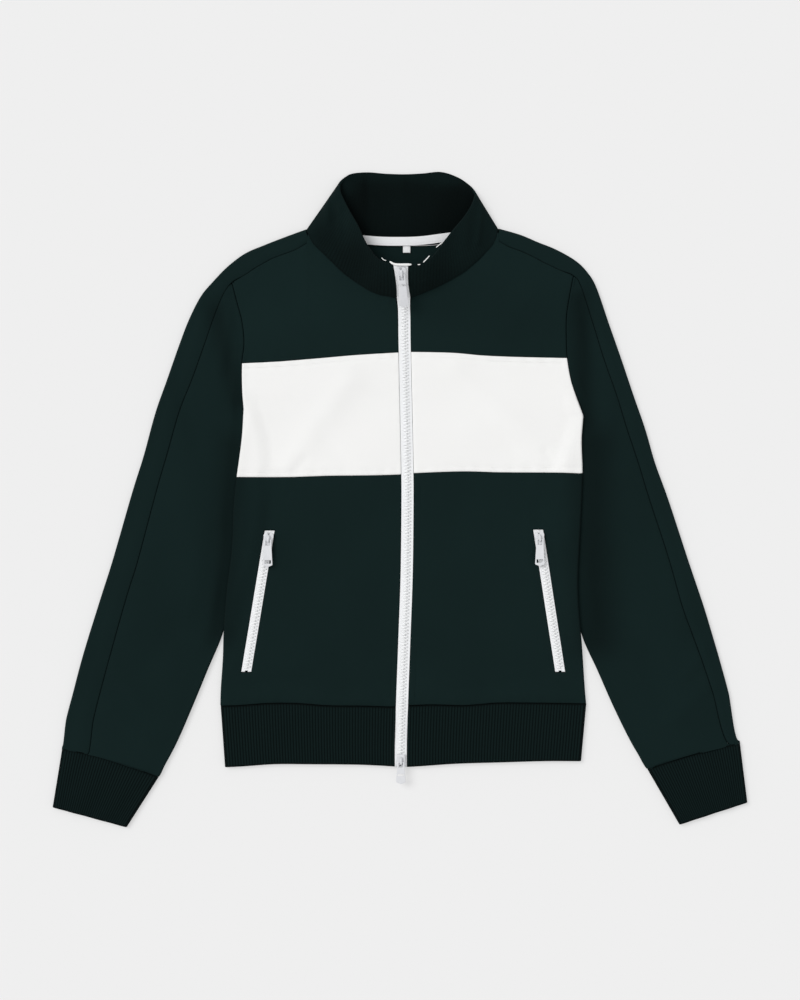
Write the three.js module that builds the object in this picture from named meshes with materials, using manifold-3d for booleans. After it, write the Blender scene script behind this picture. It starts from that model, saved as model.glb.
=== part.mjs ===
// A zip-front track jacket laid flat on its back, with the front upward.
// Millimetres. X points to the wearer's left, Y to the collar, Z up from the surface that it lies on.
import * as THREE from "three";
import { mergeVertices } from "three/addons/utils/BufferGeometryUtils.js";
import Module from "manifold-3d";

const wasm = await Module();
wasm.setup();

// Cloth and layers
const CLOTH = 1.6;
const RIB_CLOTH = 2.2;
const COLLAR_CLOTH = 3;
const SEAM = 0.35;
const CURVE_GAP = 1.5;
const BODY_TOP = 6.1;
const TUCKED_TOP = 3.5;
const BODY_LIFT = 4;
const TUCKED_BODY = 4.7;
const NECK_RISE = 2.6;
const FOLD_TAIL = 5;
const ARMHOLE_TURN = 35;

// Ribs
const RIB_HEIGHT = 0.45;
const HEM_RIBS = 50;
const CUFF_RIBS = 28;
const COLLAR_RIBS = 76;

// Zips
const ZIP_HALF = 7;
const TAPE_GAP = 0.5;
const NECK_WIDEN = 0.6;
const ZIP_SINK = 0.5;
const TAPE_CLOTH = 1.1;
const COIL_WIDTH = 4.6;
const COIL_HEIGHT = 1.5;
const POCKET_HALF = 6;

const GREEN = { color: "#182626", roughness: 0.85, metalness: 0 };
const DARK_GREEN = { color: "#152222", roughness: 0.85, metalness: 0 };
const RIB = { color: "#0f1817", roughness: 0.92, metalness: 0 };
const WHITE = { color: "#f2f3f0", roughness: 0.8, metalness: 0 };
const TAPE = { color: "#e0e4e6", roughness: 0.75, metalness: 0 };
const COIL = { color: "#eef0f1", roughness: 0.45, metalness: 0 };
const PAINT = { color: "#e4e8ea", roughness: 0.4, metalness: 0.1 };

// Outlines, each row a point: x, y
const HEM_Y = [[-206, -237], [-151, -234], [-84, -236.5], [-4, -238], [38, -235.5], [88, -235.5],
  [131, -233.5], [214, -234.5]];
const HEM_END_Y = [[-201, -307.5], [-144, -304], [-99, -304], [-24, -305.5], [5, -307], [63, -303.5],
  [164, -300.5], [208, -300.5]];
const CHEST_END_Y = [[-188, 25.5], [-129, 25.5], [-82, 27], [0, 28.5], [16, 30], [72, 32], [210, 29.5]];
const CHEST_TOP_Y = [[-182, 156.5], [-140, 158.5], [-96, 162], [0, 169], [61, 168.5], [95, 165.5], [192, 162.5]];
const ZIP_X = [[-307.5, 1], [-282, 1], [-230, 2.5], [-161, 5], [-92, 7.5], [-23, 8.5], [28, 8.5], [183, 5.2],
  [218, 4.7], [252, 2.2], [273, 1]];

// Each side holds its outlines from the top down.
// sleeve rows: seam x, seam y, outer fold x, outer fold y. cuff bow: how far its seam rises over a straight line
// armhole rows and edge rows: y, x. inner rows, the sleeve's inner fold below the underarm: y, x
const RIGHT = {
  name: "right",
  sign: -1,
  underarm: 104,
  sleeve: [[-102, 293.8, -109, 309.7], [-120.5, 286, -129, 302.5], [-144, 277.5, -155, 292.5],
    [-162, 268, -178, 282.5], [-179, 257, -198, 267.5], [-193, 249, -215, 250], [-203.5, 234, -229, 233],
    [-214, 208.5, -242.5, 206.5], [-224, 179, -254, 176.5], [-238.5, 138.5, -268, 136.5],
    [-253, 102, -281, 99.5], [-267, 52.5, -294.5, 50], [-279.5, 10, -307.5, 8.5], [-300.5, -69.5, -330, -69.5],
    [-313.5, -111, -343.5, -112], [-332, -176.5, -363.5, -176.5], [-344, -221.5, -375.5, -221.5],
    [-352.5, -256.5, -384, -254.5], [-358, -290.5, -388.5, -283.5]],
  armhole: [[249, -193], [226, -187], [205, -181.5], [179, -179], [157, -181.5], [128, -181.5], [104, -179.5]],
  inner: [[104, -179.5], [77, -170], [50, -165.5], [10, -166], [-29, -170], [-69, -179], [-112, -191.5],
    [-157, -204.5], [-194, -220], [-240, -239], [-282, -257.5], [-318, -277]],
  edge: [[104, -179.5], [72, -181.5], [44, -185], [26, -187.5], [-6, -191], [-56, -193], [-106, -199],
    [-153, -202.5], [-181, -203.5], [-218, -206], [-237, -206.5]],
  shoulder: [[-193, 249], [-179, 257], [-162, 268], [-144, 277.5], [-120.5, 286], [-102, 293.8]],
  cuff: { bow: 4, outer: [-388, -286], inner: [-277, -318.5], outerEnd: [-399, -353.5],
    innerEnd: [-314, -376.5] },
  hemSide: { top: -206, middle: -204, end: -201 },
  pocket: { top: [-149.5, -35], end: [-176.5, -198.5] },
};
const LEFT = {
  name: "left",
  sign: 1,
  underarm: 96,
  sleeve: [[109, 294.6, 117, 310], [124, 290, 138, 304], [144, 282.5, 158.5, 295.5], [167, 271, 179.5, 287],
    [184, 263, 202, 274], [199, 257, 216, 260], [208, 244, 226, 242.5], [221.5, 202, 240.5, 200.5],
    [234, 161.5, 254.5, 160.5], [249, 119, 269, 117.5], [261, 80, 282, 80], [273.5, 42, 293, 42],
    [286.5, -0.5, 308.5, -1], [309, -69.5, 331, -69.5], [323.5, -121.5, 348.5, -121.5], [336, -156, 359, -156],
    [348.5, -190.5, 369, -190.5], [360.5, -226, 378.5, -226], [381, -279, 390.5, -277.5]],
  armhole: [[257, 199], [230.5, 194], [208.5, 191], [179, 191], [162, 192], [136.5, 196.5], [118, 202.5],
    [96, 210.5]],
  inner: [[96, 210.5], [74, 204.5], [47, 195.5], [11, 188], [-29, 187], [-69, 191], [-115, 199], [-158, 209.5],
    [-196, 226.5], [-240, 246], [-282, 267], [-309, 284]],
  edge: [[96, 210.5], [68, 208.5], [30, 209.5], [-31, 207], [-93, 204], [-130, 205.5], [-156, 208], [-181, 210],
    [-218, 212.5], [-235, 214]],
  shoulder: [[199, 257], [184, 263], [167, 271], [144, 282.5], [124, 290], [109, 294.6]],
  cuff: { bow: 2.6, outer: [390.5, -279.5], inner: [284, -309.5], outerEnd: [399, -348],
    innerEnd: [321, -373.5] },
  hemSide: { top: 214, middle: 210, end: 208 },
  pocket: { top: [158.5, -34], end: [184, -198.5] },
};

// Collar rows from the right zip edge round the back to the left zip edge:
// base x, base y, base z, top x, top y, top z, bulge
const COLLAR_ROWS = [
  [-4, 230.5, 9.5, -8, 267.2, 36, 6], [-27.5, 235.5, 9.5, -25, 272.4, 36, 6],
  [-46, 245.5, 9.5, -38, 289, 32, 5], [-65.5, 259.5, 9.5, -47.5, 311, 27, 4],
  [-85, 278.5, 9.5, -57.5, 328.5, 21, 3], [-99, 292, 9.5, -65, 344.5, 16.5, 2],
  [-105, 303, 9, -69, 355, 13, 0.5], [-107.5, 309, 4.8, -69.5, 363.5, 7, 0],
  [-101, 306.5, 0, -64.5, 369.8, 2, 0], [-86, 302, 0, -55, 374.5, 0.5, 0], [-57.5, 296, 0, -37, 376, 0, 0],
  [-25.5, 292.5, 0, -16, 374.4, 0, 0], [6, 292, 0, 6, 373.8, 0, 0], [37, 292.5, 0, 26.5, 374.8, 0, 0],
  [68, 296, 0, 47, 376.4, 0, 0], [95.5, 302, 0, 66, 370.5, 0.5, 0], [109.5, 307.5, 0, 80.5, 361, 2, 0],
  [115, 309.5, 4.8, 87, 352, 7, 0], [113, 304, 9, 86, 346.5, 13, 0.5], [106.5, 292, 9.5, 83, 338.5, 16.5, 2],
  [95, 279.5, 9.5, 74.7, 324.8, 21, 3], [76.5, 263, 9.5, 64.5, 311, 27, 4], [54, 249, 9.5, 53, 295.5, 32, 5],
  [31, 238, 9.5, 33, 272.4, 36, 6], [12.4, 230.5, 9.5, 9.6, 265.6, 36, 6],
];

// Main creases on the upper faces: x1, y1, x2, y2, half width, height
const CREASES = [
  [-214, 216, -184, 114, 14, -1], [218, 230, 214, 92, 14, -1], [-58, 137, -125, 41, 16, 0.8],
  [63, 147, 184, 43, 16, 0.8], [-250, 60, -226, -110, 20, 0.8], [262, 20, 285, -110, 22, 0.8],
  [-290, -190, -262, -150, 16, -0.9], [300, -230, 284, -180, 16, -0.9], [-120, -60, -60, -200, 22, -0.8],
  [60, -40, 110, -190, 24, -0.8], [-330, -240, -290, -275, 12, 0.9], [318, -250, 352, -215, 12, 0.9],
];

const lerp = (from, to, share) => from + (to - from) * share;
const clamp = (value) => Math.min(1, Math.max(0, value));
const ease = (value) => clamp(value) ** 2 * (3 - 2 * clamp(value));
const span = (count) => Array.from({ length: count }, (_, index) => index / (count - 1));

// The second value of a table at a given first value, on a smooth curve through its rows
function at(table, first) {
  const rows = table[0][0] < table[table.length - 1][0] ? table : [...table].reverse();
  const place = Math.min(Math.max(first, rows[0][0]), rows[rows.length - 1][0]);
  let index = rows.findIndex((row, number) => number > 0 && place <= row[0]);
  index = Math.max(index, 1);
  const [x0, y0] = rows[index - 1];
  const [x1, y1] = rows[index];
  const before = rows[index - 2] ?? rows[index - 1];
  const after = rows[index + 1] ?? rows[index];
  const slope0 = (y1 - before[1]) / (x1 - before[0]) * (x1 - x0);
  const slope1 = (after[1] - y0) / (after[0] - x0) * (x1 - x0);
  const t = (place - x0) / (x1 - x0);
  return y0 * (1 + 2 * t) * (1 - t) ** 2 + slope0 * t * (1 - t) ** 2
    + y1 * t * t * (3 - 2 * t) - slope1 * t * t * (1 - t);
}

// A row of a table between its rows, by number from 0 to 1
function rowAt(table, share) {
  const place = clamp(share) * (table.length - 1);
  const index = Math.min(Math.floor(place), table.length - 2);
  const t = place - index;
  const pick = (number) => table[Math.min(Math.max(number, 0), table.length - 1)];
  return table[index].map((value, column) => {
    const next = table[index + 1][column];
    const slope0 = (next - pick(index - 1)[column]) / 2;
    const slope1 = (pick(index + 2)[column] - value) / 2;
    return value * (1 + 2 * t) * (1 - t) ** 2 + slope0 * t * (1 - t) ** 2
      + next * t * t * (3 - 2 * t) - slope1 * t * t * (1 - t);
  });
}

// How far a point is from a crease's line, as a height
function creaseHeight(x, y) {
  let height = 0;
  for (const [x1, y1, x2, y2, width, rise] of CREASES) {
    const length = Math.hypot(x2 - x1, y2 - y1);
    const along = clamp(((x - x1) * (x2 - x1) + (y - y1) * (y2 - y1)) / length ** 2);
    const away = Math.hypot(x - lerp(x1, x2, along), y - lerp(y1, y2, along));
    height += rise * Math.exp(-((away / width) ** 2));
  }
  return height;
}

// The sleeve lies under the body's side below the underarm: 0 above the armhole's lower end, 1 below it
const underBody = (side, y) => ease((side.underarm + 36 - y) / 30);

// The inner limit of the sleeve: the armhole above the underarm, the inner fold below it
const innerX = (side, y) => (y > side.underarm ? at(side.armhole, y) : at(side.inner, y));
const edgeX = (side, y) => (y > side.underarm ? at(side.armhole, y) : at(side.edge, y));

// Height of the body's underside, raised where the sleeve lies under it
function bodyBottom(x, y) {
  const side = x < 4 ? RIGHT : LEFT;
  const clear = (innerX(side, y) - x) * side.sign;
  return BODY_LIFT * underBody(side, y) * (1 - ease((clear - 2) / 18));
}

// Height of the front's outer face
function bodyTop(x, y) {
  const lift = bodyBottom(x, y);
  const ring = Math.hypot((x - 4) / 112, (y - 309) / 78);
  const neck = NECK_RISE * Math.exp(-((Math.max(ring - 1, 0) * 95 / 24) ** 2));
  const side = x < 4 ? RIGHT : LEFT;
  const inside = ease((edgeX(side, y) - x) * side.sign / 12);
  return BODY_TOP + lift * (1 - (BODY_TOP - TUCKED_BODY) / BODY_LIFT) + neck + creaseHeight(x, y) * inside;
}

// Height of the sleeve's upper face, lower beside and under the body's edge
function sleeveTop(side, x, y) {
  const clear = (x - edgeX(side, y)) * side.sign;
  const low = (BODY_TOP - TUCKED_TOP) * underBody(side, y) * (1 - ease((clear - 1.5) / 14));
  const inside = ease((clear - 4) / 12);
  return BODY_TOP - low + creaseHeight(x, y) * inside;
}

// A closed wall from a grid of outer points. Its inner points lie one thickness along the normals inward.
// round joins the last column to the first, ridge lifts outer points, keep leaves cells out as openings.
function wall(grid, thickness, { round = false, ridge = null, innerRidge = null, keep = () => true } = {}) {
  const rows = grid.length;
  const columns = grid[0].length;
  const wrap = (column) => (round ? (column + columns) % columns : Math.min(Math.max(column, 0), columns - 1));
  const point = (row, column) => grid[Math.min(Math.max(row, 0), rows - 1)][wrap(column)];
  const outer = [];
  const inner = [];
  for (let row = 0; row < rows; row += 1) {
    for (let column = 0; column < columns; column += 1) {
      const across = point(row, column + 1).clone().sub(point(row, column - 1));
      const down = point(row + 1, column).clone().sub(point(row - 1, column));
      const normal = across.cross(down).normalize();
      const lift = ridge ? ridge(row, column, normal) : 0;
      const sink = innerRidge ? innerRidge(row, column) : 0;
      outer.push(grid[row][column].clone().addScaledVector(normal, lift));
      inner.push(grid[row][column].clone().addScaledVector(normal, -thickness - sink));
    }
  }
  const positions = [...outer, ...inner].flatMap((vertex) => [vertex.x, vertex.y, vertex.z]);
  const count = rows * columns;
  const index = [];
  const cells = columns - (round ? 0 : 1);
  const kept = (row, column) => row >= 0 && row < rows - 1
    && (round || (column >= 0 && column < cells)) && keep(row, column);
  const quad = (a, b, c, d) => index.push(a, b, c, a, c, d);
  for (let row = 0; row < rows - 1; row += 1) {
    for (let column = 0; column < cells; column += 1) {
      if (!kept(row, column)) continue;
      const a = row * columns + column;
      const b = row * columns + wrap(column + 1);
      const c = (row + 1) * columns + wrap(column + 1);
      const d = (row + 1) * columns + column;
      quad(a, b, c, d);
      quad(a + count, d + count, c + count, b + count);
      if (!kept(row - 1, column)) quad(b, a, a + count, b + count);
      if (!kept(row + 1, column)) quad(d, c, c + count, d + count);
      if (!kept(row, column - 1)) quad(a, d, d + count, a + count);
      if (!kept(row, column + 1)) quad(c, b, b + count, c + count);
    }
  }
  const geometry = new THREE.BufferGeometry();
  geometry.setAttribute("position", new THREE.Float32BufferAttribute(positions, 3));
  geometry.setIndex(index);
  return geometry;
}

const object = new THREE.Group();

function add(name, geometry, look) {
  const mesh = new THREE.Mesh(geometry, new THREE.MeshStandardMaterial(look));
  mesh.name = name;
  object.add(mesh);
  return mesh;
}

// The wearer's right side runs from its edge inward, which is the outward order for both sides when mirrored
const ordered = (side, row) => (side.sign < 0 ? row : [...row].reverse());

// Points of an edge that rolls down and under, from under the cloth to its top.
// x is the roll's outermost place, turn its angle in degrees, direction +1 when the roll faces +X.
function roll(x, y, top, bottom, turn, direction, steps = 4) {
  const radius = (top - bottom) / 2;
  const end = (90 - turn) * Math.PI / 180;
  const tail = Math.max(0.5, FOLD_TAIL * ease((turn - 90) / 90));
  const reach = radius * Math.cos(Math.max(end, 0)) + Math.max(Math.sin(end), 0) * tail;
  const centre = x - direction * reach;
  const points = [];
  const finish = new THREE.Vector3(centre + direction * radius * Math.cos(end), y,
    top - radius + radius * Math.sin(end));
  const away = new THREE.Vector3(Math.sin(end) * direction, 0, -Math.cos(end));
  finish.addScaledVector(away, tail);
  finish.z = Math.max(finish.z, bottom);
  points.push(finish);
  for (let step = 0; step <= steps; step += 1) {
    const angle = (90 - turn * (1 - step / steps)) * Math.PI / 180;
    points.push(new THREE.Vector3(centre + direction * radius * Math.cos(angle), y,
      top - radius + radius * Math.sin(angle)));
  }
  return points;
}

// How far the side seams have gone under the roll: 0 at the armhole, 1 below the underarm
const underRoll = (side, y) => ease((side.underarm + 36 - y) / 22);
const turnAt = (side, y) => lerp(ARMHOLE_TURN, 180, ease((side.underarm + 30 - y) / 28));

// One front panel: rows from its lower line to its upper line, columns from the side to the zip
function frontPanel(side, lower, upper, columns, rows, keep) {
  const zipEdge = (y) => at(ZIP_X, y) + side.sign * (ZIP_HALF + TAPE_GAP / 2 + NECK_WIDEN * ease((y - 200) / 30));
  const grid = rows.map((share) => {
    const ySide = lerp(lower(side.sign * 200), upper(side.sign * 200), share);
    const gap = CURVE_GAP * (1 - ease((side.underarm + 20 - ySide) / 20));
    const edge = edgeX(side, ySide) - side.sign * (SEAM + gap) / 2;
    const outerTop = bodyTop(edge - side.sign * 4, ySide);
    const outerBottom = bodyBottom(edge - side.sign * 4, ySide);
    const row = roll(edge, ySide, outerTop, outerBottom, turnAt(side, ySide), side.sign);
    const start = row[row.length - 1].x;
    for (const place of columns(share)) {
      const zipY = lerp(lower(0), upper(side.sign * 8), share);
      const x = typeof place === "number" ? lerp(start, zipEdge(zipY), place) : place.x;
      const y = lerp(lower(x), upper(x), share);
      row.push(new THREE.Vector3(x, y, bodyTop(x, y)));
    }
    return ordered(side, row);
  });
  const reach = grid[0].length - 1;
  const cell = keep && ((row, column) => keep(row, side.sign < 0 ? column : reach - 1 - column));
  return wall(grid, CLOTH, cell ? { keep: cell } : {});
}

const hemLine = (x) => at(HEM_Y, x) + SEAM * 2;
const chestEnd = (x) => at(CHEST_END_Y, x);
const chestTop = (x) => at(CHEST_TOP_Y, x);

// The front neckline, and the shoulder seam that meets it
function collarBaseFront(x) {
  const rows = COLLAR_ROWS.filter((row) => row[2] > 8).map((row) => [row[0], row[1]]);
  rows.sort((first, second) => first[0] - second[0]);
  return at(rows, x) - 1;
}

function collarBaseBack(x) {
  const rows = COLLAR_ROWS.filter((row) => row[2] === 0).map((row) => [row[0], row[1]]);
  return at(rows, x) - 0.6;
}

function upperLine(x, side, neck) {
  const corner = side.shoulder[side.shoulder.length - 1][0];
  if ((x - corner) * side.sign > 0) return at(side.shoulder, x) - SEAM / 2;
  return Math.min(neck(x), at(side.shoulder, corner) - SEAM / 2 + Math.abs(x - corner) * 0.1);
}

function fronts(side) {
  const even = span(9).slice(1);
  add(`${side.name}_chest_panel`, frontPanel(side, (x) => chestEnd(x) + SEAM / 2, (x) => chestTop(x) - SEAM / 2,
    () => even, span(7)), WHITE);

  const neckColumns = [0.12, 0.25, 0.36, 0.47, 0.54, 0.62, 0.7, 0.78, 0.86, 0.93, 1];
  add(`${side.name}_yoke`, frontPanel(side, (x) => chestTop(x) + SEAM / 2, (x) => upperLine(x, side, collarBaseFront),
    () => neckColumns, [0, 0.3, 0.6, 0.8, 1]), GREEN);

  // The pocket's opening is one column of cells between two rows
  const { top, end } = side.pocket;
  const lower = hemLine;
  const upper = (x) => chestEnd(x) - SEAM / 2;
  const openFrom = (end[1] - lower(end[0])) / (upper(end[0]) - lower(end[0]));
  const openTo = (top[1] - lower(top[0])) / (upper(top[0]) - lower(top[0]));
  const rows = [0, 0.07, openFrom, lerp(openFrom, openTo, 0.34), lerp(openFrom, openTo, 0.67), openTo, 0.88, 1];
  const columns = (share) => {
    const centre = lerp(end[0], top[0], (share - openFrom) / (openTo - openFrom));
    const outside = { x: centre + side.sign * POCKET_HALF };
    const inside = { x: centre - side.sign * POCKET_HALF };
    const near = { x: centre + side.sign * (POCKET_HALF + 8) };
    return [near, outside, inside, 0.38, 0.52, 0.66, 0.8, 0.91, 1];
  };
  const sideCells = 6;
  const keep = (row, column) => !(column === sideCells + 1 && row >= 2 && row <= 4);
  add(`${side.name}_lower_front`, frontPanel(side, lower, upper, columns, rows, keep), DARK_GREEN);
}

// The back body lies on the surface, with its sides inside the side seams, and rises over the tucked sleeves
function backBody() {
  const middle = [0.232, 0.32, 0.41, 0.5, 0.6, 0.7, 0.779];
  const rows = [0, 0.14, 0.28, 0.4, 0.5, 0.58, 0.65, 0.71, 0.76, 0.82, 0.88, 0.94, 1];
  const rightTop = RIGHT.shoulder[0];
  const leftTop = LEFT.shoulder[0];
  const limit = (side, y) => {
    const low = underRoll(side, y);
    const inward = (FOLD_TAIL + BODY_TOP / 2 + SEAM * 3) * low + CURVE_GAP * 1.4 * (1 - low);
    return edgeX(side, y) - side.sign * inward;
  };
  const sideColumns = (side, y) => {
    const start = limit(side, y);
    const reach = Math.max((start - innerX(side, y)) * side.sign + 3, 6);
    return [0, reach, reach + 8, reach + 17].map((inward) => start - side.sign * inward);
  };
  const grid = rows.map((share) => {
    const rightY = lerp(hemLine(RIGHT.hemSide.top), rightTop[1], share);
    const leftY = lerp(hemLine(LEFT.hemSide.top), leftTop[1], share);
    const right = sideColumns(RIGHT, rightY);
    const left = sideColumns(LEFT, leftY).reverse();
    const inner = middle.map((place) => lerp(limit(RIGHT, rightY), limit(LEFT, leftY), place));
    const rise = ease((share - 0.6) / 0.4);
    const points = [...right, ...inner, ...left].map((x) => {
      const place = clamp((x - right[0]) / (left[3] - right[0]));
      const side = x < 4 ? RIGHT : LEFT;
      const yRow = lerp(rightY, leftY, place);
      const xTop = lerp(rightTop[0], leftTop[0], place);
      const lift = upperLine(xTop, side, collarBaseBack) - lerp(rightTop[1], leftTop[1], place);
      const spare = CURVE_GAP * 0.6 * rise * ease((Math.abs(place - 0.5) - 0.22) / 0.06);
      const y = share === 0 ? hemLine(x) + 0.5 : yRow + rise * lift - spare;
      return new THREE.Vector3(x, y, bodyBottom(x, yRow));
    });
    return points.reverse();
  });
  return wall(grid, CLOTH);
}

// The sleeve's rows slope toward the cuff, whose seam is slanted, and the last of them follow that seam
const cuffSlope = (share) => ease((share - 0.8) / 0.2);

function cuffSeam(side, x) {
  const { outer, inner, bow } = side.cuff;
  const place = clamp((x - outer[0]) / (inner[0] - outer[0]));
  return lerp(outer[1], inner[1], place) + bow * Math.sin(Math.PI * place);
}

const towardCuff = (side, share, x, y) => lerp(y, cuffSeam(side, x) + SEAM, ease((share - 0.94) / 0.06));

// The back of a sleeve with the shoulder strip: front flap, outer fold, then the back flap on the surface
function sleeveBack(side) {
  const count = side.sleeve.length;
  const grid = span(25).map((share) => {
    const [seamX, seamY, foldX, foldY] = rowAt(side.sleeve, share);
    const station = share * (count - 1);
    const onShoulder = station < 5.2;
    const out = new THREE.Vector2(foldX - seamX, foldY - seamY);
    const width = out.length();
    out.normalize();
    const top = BODY_TOP + NECK_RISE * 0.8 * (1 - ease(station / 2.5));
    const radius = top / 2;
    const points = [];
    const put = (distance, z) => points.push(new THREE.Vector3(seamX + out.x * distance,
      seamY + out.y * distance, z));
    const height = (distance) => (onShoulder ? top
      : sleeveTop(side, seamX + out.x * distance, seamY + out.y * distance));
    put(SEAM, height(SEAM));
    put((width - radius) * 0.5, height((width - radius) * 0.5));
    for (const angle of [90, 45, 0, -45, -90]) {
      const turn = angle * Math.PI / 180;
      put(width - radius + radius * Math.cos(turn), radius + radius * Math.sin(turn));
    }
    const start = points[points.length - 1];
    const endY = onShoulder ? seamY + out.y * SEAM : lerp(seamY, side.cuff.inner[1] + 2.6, cuffSlope(share));
    const low = underRoll(side, endY);
    const endX = onShoulder ? seamX + out.x * SEAM
      : innerX(side, endY) + side.sign * (SEAM + (FOLD_TAIL + BODY_TOP / 2 + SEAM) * low);
    for (const part of [0.2, 0.45, 0.7, 1]) {
      points.push(new THREE.Vector3(lerp(start.x, endX, part), lerp(start.y, endY, part), 0));
    }
    for (const point of points) point.y = towardCuff(side, share, point.x, point.y);
    return side.sign < 0 ? points : points.reverse();
  });
  return wall(grid, CLOTH);
}

// The front of a sleeve, from the sleeve seam to the armhole or the roll at its inner fold
function sleeveFront(side) {
  const first = 5 / (side.sleeve.length - 1) + 0.012;
  const grid = span(18).map((part) => {
    const share = lerp(first, 1, part);
    const [seamX, seamY, foldX, foldY] = rowAt(side.sleeve, share);
    const out = new THREE.Vector2(foldX - seamX, foldY - seamY).normalize();
    const from = new THREE.Vector2(seamX - out.x * SEAM, seamY - out.y * SEAM);
    const yEnd = lerp(seamY, side.cuff.inner[1] + 1.8, cuffSlope(share));
    const gap = CURVE_GAP * (1 - ease((side.underarm + 20 - yEnd) / 20));
    const x = innerX(side, yEnd) + side.sign * (SEAM + gap) / 2;
    const top = sleeveTop(side, x, yEnd);
    const rollPoints = roll(x, yEnd, top, 0, turnAt(side, yEnd), -side.sign).reverse();
    const beside = Math.max(edgeX(side, yEnd) * side.sign, innerX(side, yEnd) * side.sign) * side.sign;
    const room = (from.x - beside) * side.sign;
    const steps = [0.97, 0.7, 0.42].map((place) => beside + side.sign * Math.max(room * place, 16));
    const near = [16, 9, 3.6].map((place) => beside + side.sign * Math.min(place, room * place / 20));
    const points = [from.x, ...(room > 30 ? steps : [0.95, 0.9, 0.85].map((place) => beside
      + side.sign * room * place)), ...near].map((px) => {
      const py = lerp(seamY, yEnd, clamp((from.x - px) * side.sign / ((from.x - x) * side.sign)));
      return new THREE.Vector3(px, px === from.x ? from.y : py, sleeveTop(side, px, py));
    });
    points.push(...rollPoints);
    for (const point of points) point.y = towardCuff(side, share, point.x, point.y);
    return side.sign < 0 ? points.reverse() : points;
  });
  return wall(grid, CLOTH);
}

// A ribbed tube pressed flat: a closed ring of points for each row
function cuff(side) {
  const { outer, inner, outerEnd, innerEnd, bow } = side.cuff;
  const ring = (from, to, bow) => {
    const across = new THREE.Vector2(to[0] - from[0], to[1] - from[1]);
    const width = across.length();
    across.normalize();
    const radius = BODY_TOP / 2;
    const points = [];
    const place = (distance, z) => points.push(new THREE.Vector3(from[0] + across.x * distance,
      from[1] + across.y * distance + bow * Math.sin(Math.PI * distance / width), z));
    const ribs = CUFF_RIBS * 2;
    for (let step = 0; step <= ribs; step += 1) {
      place(lerp(radius, width - radius, step / ribs), BODY_TOP);
    }
    for (const angle of [45, 0, -45]) {
      const turn = angle * Math.PI / 180;
      place(width - radius + radius * Math.cos(turn), radius + radius * Math.sin(turn));
    }
    for (const part of [0, 0.25, 0.5, 0.75, 1]) place(lerp(width - radius, radius, part), 0);
    for (const angle of [-135, 180, 135]) {
      const turn = angle * Math.PI / 180;
      place(radius + radius * Math.cos(turn), radius + radius * Math.sin(turn));
    }
    return points;
  };
  const rows = [ring(outer, inner, bow), ring(outerEnd, innerEnd, 0)];
  if (side.sign < 0) rows.reverse();
  const ridge = (row, column) => (column > 0 && column < CUFF_RIBS * 2 && column % 2 === 1 ? RIB_HEIGHT : 0);
  add(`${side.name}_cuff`, wall(rows, RIB_CLOTH, { round: true, ridge }), RIB);
}

// The hem band runs from one side of the zip under the jacket to the other
function hemRib() {
  const radius = BODY_TOP / 2;
  const line = (lineY, place) => {
    const points = [];
    const put = (x, z) => points.push(new THREE.Vector3(x, lineY(x), z));
    const rightX = lerp(RIGHT.hemSide.top, RIGHT.hemSide.end, place) + radius;
    const leftX = lerp(LEFT.hemSide.top, LEFT.hemSide.end, place) - radius;
    const zipX = at(ZIP_X, lerp(-234, -307, place));
    const ribs = HEM_RIBS * 2;
    for (let step = 0; step <= ribs; step += 1) put(lerp(zipX - ZIP_HALF, rightX, step / ribs), BODY_TOP);
    for (const angle of [45, 0, -45]) {
      const turn = angle * Math.PI / 180;
      put(rightX - radius * Math.cos(turn), radius + radius * Math.sin(turn));
    }
    for (const part of span(9)) put(lerp(rightX, leftX, part), 0);
    for (const angle of [-45, 0, 45]) {
      const turn = angle * Math.PI / 180;
      put(leftX + radius * Math.cos(turn), radius + radius * Math.sin(turn));
    }
    for (let step = 0; step <= ribs; step += 1) put(lerp(leftX, zipX + ZIP_HALF, step / ribs), BODY_TOP);
    return points;
  };
  const rows = [line((x) => at(HEM_Y, x) - SEAM / 2, 0), line((x) => at(HEM_END_Y, x), 1)];
  const last = rows[0].length - 1;
  const top = HEM_RIBS * 2;
  const ridge = (row, column) => {
    const count = Math.min(column, last - column);
    return count > 0 && count < top && count % 2 === 1 ? RIB_HEIGHT : 0;
  };
  return wall(rows, RIB_CLOTH, { ridge });
}

// A point of the collar's outer face: around from the right zip edge to the left, up from base to top
function collarPoint(around, up) {
  const [bx, by, bz, tx, ty, tz, bulge] = rowAt(COLLAR_ROWS, around);
  const base = new THREE.Vector3(bx, by, bz);
  const top = new THREE.Vector3(tx, ty, tz);
  const middle = base.clone().add(top).multiplyScalar(0.5);
  middle.y -= bulge * 0.8;
  middle.z += bulge * 1.4;
  base.multiplyScalar((1 - up) ** 2).addScaledVector(middle, 2 * up * (1 - up)).addScaledVector(top, up ** 2);
  base.z = Math.max(base.z, 0);
  return base;
}

function collar() {
  const around = span(COLLAR_RIBS * 2 + 1);
  const grid = span(4).map((up) => around.map((share) => collarPoint(share, up)));
  const resting = (normal) => normal.z < -0.1;
  const ridge = (row, column, normal) => (column % 2 === 1 && !resting(normal) ? RIB_HEIGHT : 0);
  return wall(grid.reverse(), COLLAR_CLOTH, { ridge });
}

fronts(RIGHT);
fronts(LEFT);
add("back_body", backBody(), DARK_GREEN);
for (const side of [RIGHT, LEFT]) {
  add(`${side.name}_sleeve_back`, sleeveBack(side), DARK_GREEN);
  add(`${side.name}_sleeve_front`, sleeveFront(side), DARK_GREEN);
}
cuff(RIGHT);
cuff(LEFT);
add("hem_rib", hemRib(), RIB);
add("collar", collar(), RIB);

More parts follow.
